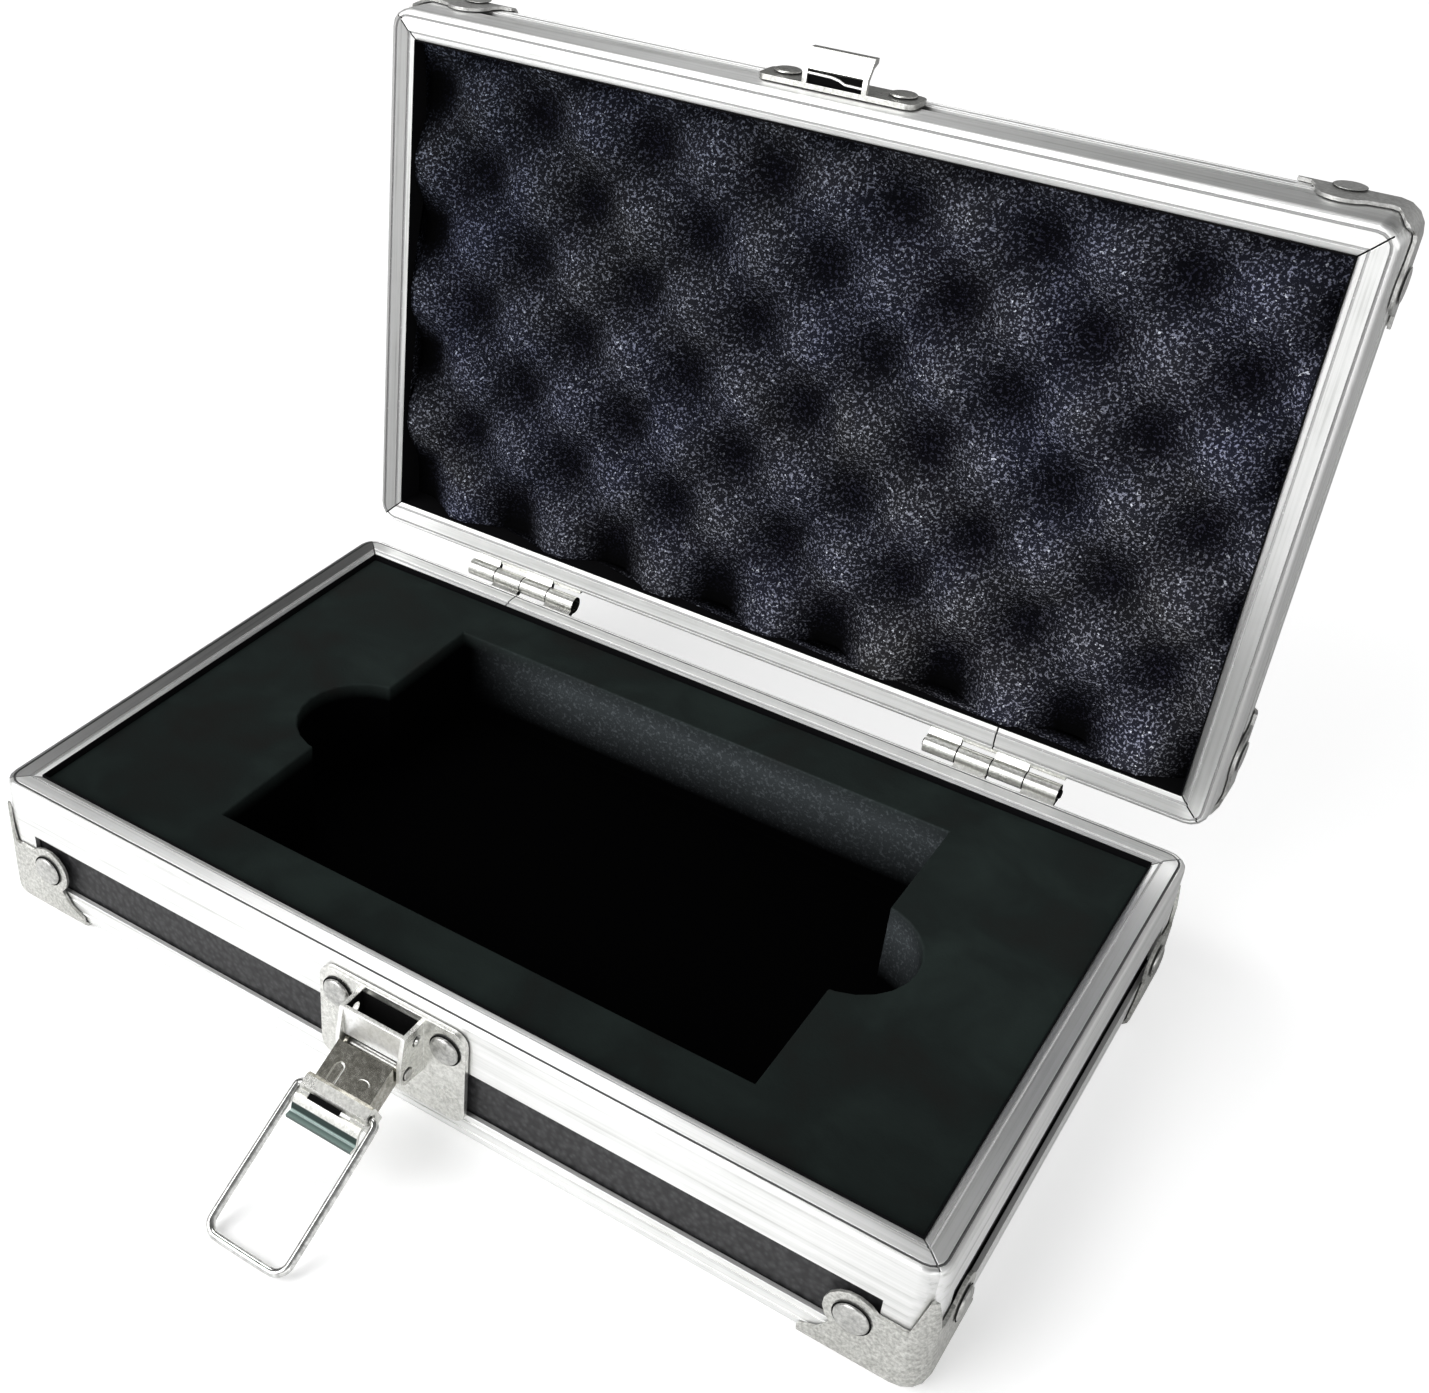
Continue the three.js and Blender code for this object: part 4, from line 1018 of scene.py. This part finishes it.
def rivetSeat(nodeName):
    # a CAD rivet's flat back is its largest flat face: it gives the place and the axis
    mesh = nodes[nodeName].data
    faces = {}
    for face in mesh.polygons:
        key = tuple(round(value, 2) for value in face.normal)
        faces[key] = faces.get(key, 0) + face.area
    back = Vector(max(faces, key=faces.get)).normalized()
    deep = max(vertex.co.dot(back) for vertex in mesh.vertices)
    shallow = min(vertex.co.dot(back) for vertex in mesh.vertices)
    level = deep - rivetShape["backWithin"]
    rim = [vertex.co for vertex in mesh.vertices if vertex.co.dot(back) > level]
    spans = [(min(place[i] for place in rim), max(place[i] for place in rim)) for i in range(3)]
    middle = Vector([(low + high) / 2 for low, high in spans])
    radius = max((place - middle).length for place in rim)
    return middle, -back, radius, deep - shallow


for name in sorted(nodes):
    if "_rivet_" in name:
        kind, body = name.split("_")[0], nodes[name]["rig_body"]
        place, axis, radius, height = rivetSeat(name)
        height *= rivetShape["lowered"].get(kind, 1)
        finish = rivetShape["finish"].get(kind, "rivet")
        head = makeRivet(name + "_head", place, axis, radius, height, body, finish)
        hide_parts(name)
        makeShadowSeat(name + "_shadow_seat", place, axis, radius, body)
print("rivets set")

# small fasteners that the CAD leaves out: two on each hinge leaf, and one on each corner of the lid's top
smallRivets = {
    "hinges": {"left": -63.5 * mm, "right": 63.5 * mm},
    "leafSpread": 10 * mm,
    "leafDown": 7 * mm,
    "leafFace": 2.7 * mm,
    "leafSizes": (1.5 * mm, 0.4 * mm),  # radius and height
    "cornerInset": 13.2 * mm,
    "cornerUp": 18.65 * mm,
    "cornerSizes": (3.2 * mm, 0.45 * mm),
}


def setLeafRivets():
    sizes = smallRivets["leafSizes"]
    face, down = smallRivets["leafFace"], smallRivets["leafDown"]
    outward = Vector((0, 1, 0))
    for side, hingeX in smallRivets["hinges"].items():
        for number, sign in ((1, -1), (2, 1)):
            x = hingeX + sign * smallRivets["leafSpread"]
            seat = shells["hinge"] + Vector((x, -face, -down))
            makeRivet("hinge_%s_base_rivet_%d" % (side, number), seat, outward, *sizes, "base")
            seat = closedLidPoint(x, -face, down)
            makeRivet("hinge_%s_lid_rivet_%d" % (side, number), seat, lidTurn @ outward, *sizes, "lid")


def setTopRivets():
    sizes = smallRivets["cornerSizes"]
    for number, (signX, signY) in enumerate(((-1, -1), (1, -1), (-1, 1), (1, 1)), 1):
        x = signX * (shells["halfLength"] - smallRivets["cornerInset"])
        y = -shells["hingeReach"] + signY * (shells["halfWidth"] - smallRivets["cornerInset"])
        seat = closedLidPoint(x, y, smallRivets["cornerUp"])
        makeRivet("lid_top_rivet_%d" % number, seat, lidTurn @ Vector((0, 0, 1)), *sizes, "lid")


setLeafRivets()
setTopRivets()
print("small fasteners set")

# sheets of painted shade at the back of the latch's box, in the lever's slot and in the catch's hollow; the
# lever's stamped mark and the catch's inner strip
fittings = {
    "box": {"half": 7.0 * mm, "low": 20.9 * mm, "high": 27.2 * mm, "out": 1.52 * mm, "thick": 0.1 * mm},
    "slot": {
        "left": -5.2 * mm,
        "right": 2.4 * mm,
        "from": 12.7 * mm,
        "to": 14.1 * mm,
        "high": latch["plateHigh"] + 0.03 * mm,
        "thick": 0.12 * mm,
    },
    "mark": {
        "x": 3.1 * mm,
        "along": 6.3 * mm,
        "radius": 1.3 * mm,
        "wire": 0.16 * mm,
        "angles": (-15, 195),
        "steps": 8,
    },
    "hollow": {
        "half": 6.15 * mm,
        "low": 1.45 * mm,
        "high": 4.9 * mm,
        "up": 5.95 * mm,
        "front": 4.96 * mm,
        "thick": 0.1 * mm,
    },
    # the curled strip in the hook, as (x, out) from left to right
    "strip": {
        "line": [(-6.1, 3.45), (-1.0, 3.35), (0.8, 3.05), (2.2, 2.45), (6.1, 2.35)],
        "up": 5.5 * mm,
        "wire": 0.3 * mm,
    },
}


def shadeSheet(name, point, left, right, near, far, thick, body):
    # a thin sheet of painted shade on four corners: near and far give the other two measures of its long
    # edges
    piece = newPiece(name, bpy.ops.mesh.primitive_plane_add, size=1)
    corners = (point(left, *near), point(right, *near), point(left, *far), point(right, *far))
    for vertex, corner in zip(piece.data.vertices, corners):
        vertex.co = corner
    applyModifier(piece, "SOLIDIFY", thickness=thick, offset=1)
    setMode("EDIT")
    faceOutward()
    piece.data.materials.append(finishes["shade"])
    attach(piece, body)


bar = {"sides": 10, "leastTurn": 0.001, "merge": 0.001 * mm, "smooth": 50}


def roundBar(name, points, radius, finish, body):
    # a bar that follows its points: the ring is extruded from one to the next, and turned at each bend
    ring = {"vertices": bar["sides"], "radius": radius, "fill_type": "NGON"}
    piece = newPiece(name, bpy.ops.mesh.primitive_circle_add, **ring)
    heading = (points[1] - points[0]).normalized()
    turn = heading.to_track_quat("Z", "Y").to_matrix().to_4x4()
    piece.data.transform(Matrix.Translation(points[0]) @ turn)
    editFaces("SELECT")
    for before, here, after in zip(points, points[1:], points[2:] + [None]):
        bpy.ops.mesh.extrude_region_move(TRANSFORM_OT_translate={"value": here - before})
        if after is None:
            break
        ahead = (after - here).normalized()
        axis, angle = heading.rotation_difference((ahead + heading).normalized()).to_axis_angle()
        if angle > bar["leastTurn"]:
            setMode("OBJECT")
            spin = Matrix.Translation(here) @ Matrix.Rotation(angle, 4, axis) @ Matrix.Translation(-here)
            for vertex in piece.data.vertices:
                if vertex.select:
                    vertex.co = spin @ vertex.co
            setMode("EDIT")
        heading = ahead
    bpy.ops.mesh.select_all(action="SELECT")
    bpy.ops.mesh.remove_doubles(threshold=bar["merge"])
    faceOutward()
    smoothBy(bar["smooth"])
    piece.data.materials.append(finishes[finish])
    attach(piece, body)


def fitLatch():
    box, slot, mark = fittings["box"], fittings["slot"], fittings["mark"]
    near, far = (box["out"], box["low"]), (box["out"], box["high"])
    shadeSheet("latch_box_shade", latchPoint, -box["half"], box["half"], near, far, box["thick"], "base")
    near, far = (slot["to"], slot["high"]), (slot["from"], slot["high"])
    shadeSheet("lever_slot_shade", leverPoint, slot["left"], slot["right"], near, far, slot["thick"], "lever")
    points = []
    for step in range(mark["steps"] + 1):
        first, last = mark["angles"]
        angle = math.radians(first + (last - first) * step / mark["steps"])
        x = mark["x"] + mark["radius"] * math.cos(angle)
        along = mark["along"] - 0.5 * mark["radius"] * math.sin(angle)
        points.append(leverPoint(x, along, latch["plateHigh"]))
    roundBar("lever_mark", points, mark["wire"], "bright", "lever")


def fitCatch():
    hollow, strip = fittings["hollow"], fittings["strip"]
    sides = (-hollow["half"], hollow["half"])
    near, far = (hollow["low"], hollow["up"]), (hollow["high"], hollow["up"])
    shadeSheet("catch_hollow_shade", catchPoint, *sides, near, far, hollow["thick"], "lid")
    near, far = (hollow["low"], hollow["front"]), (hollow["low"], hollow["up"])
    shadeSheet("catch_hollow_floor_shade", catchPoint, *sides, near, far, hollow["thick"], "lid")
    points = [catchPoint(x * mm, out * mm, strip["up"]) for x, out in strip["line"]]
    roundBar("catch_strip", points, strip["wire"], "paleSteelAndHighlight", "lid")


fitLatch()
fitCatch()
print("latch fitted")

# lining between the strips' lips and the foam: near-black felt, which also stands as painted shade there
lining = {
    "inset": 6.43 * mm,
    "sheet": 0.22 * mm,
    "below": 0.12 * mm,
    "depth": {"base": 26.5 * mm, "lid": 12.5 * mm},
}


def layLining(body):
    # an open box without top or bottom, given as for the base, with its rim at height 0
    piece = newPiece(body + "_lining", bpy.ops.mesh.primitive_cube_add, size=1)
    width = 2 * (shells["halfLength"] - lining["inset"])
    across = 2 * (shells["halfWidth"] - lining["inset"])
    depth = lining["depth"][body]
    piece.data.transform(Matrix.Diagonal((width, across, depth, 1)))
    piece.data.transform(Matrix.Translation((0, 0, -lining["below"] - depth / 2)))
    editFaces("DESELECT")
    setMode("OBJECT")
    for face in piece.data.polygons:
        face.select = abs(face.normal.z) > 0.9
    setMode("EDIT")
    bpy.ops.mesh.delete(type="FACE")
    setMode("OBJECT")
    applyModifier(piece, "SOLIDIFY", thickness=lining["sheet"], offset=-1, use_even_offset=True)
    if body == "base":
        piece.data.transform(Matrix.Translation(shells["baseMiddle"] + Vector((0, 0, shells["rimLevel"]))))
    else:
        # the lid's rim faces down on the base when it is closed
        flip = Matrix.Rotation(math.pi, 4, "X")
        closed = Matrix.Translation((0, -shells["hingeReach"], shells["rimGap"])) @ flip
        piece.data.transform(Matrix.Translation(shells["hinge"]) @ lidTurn.to_4x4() @ closed)
    piece.data.materials.append(finishes["lining"])
    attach(piece, body)


layLining("base")
layLining("lid")
print("lining laid")

# foam
lidFoamShape = {
    "edge": 58.7 * mm,
    "surface": 10 * mm,
    "middle": 4.65 * mm,
    "reach": 3.5,
    "sharp": 50,
    "levels": 2,
}
baseFoamShape = {"width": 0.5 * mm, "steps": 3, "angle": 40, "smooth": 60}


def dressLidFoam():
    shape = lidFoamShape
    piece = mergedCopy("lid_foam", "lid_foam_cells")
    # at the hinge side the last pits run out under the lip, and the crests between them reach it
    for vertex in piece.data.vertices:
        place = lidTurn.inverted() @ (vertex.co - lidMiddle)
        if place.y > shape["edge"] and place.z < shape["surface"]:
            place.z = shape["middle"] + (place.z - shape["middle"]) * shape["reach"]
            vertex.co = lidMiddle + lidTurn @ place
    creaseEdges(shape["sharp"], 1)
    setMode("OBJECT")
    applyModifier(piece, "SUBSURF", levels=shape["levels"], render_levels=shape["levels"])
    smoothBy(shape["sharp"])
    recoat(piece, "lidFoam")
    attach(piece, "lid")
    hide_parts("lid_foam")


def dressBaseFoam():
    piece = dress("base_foam", "baseFoam", "base_foam", **baseFoamShape)


dressLidFoam()
dressBaseFoam()
print("foam laid in")
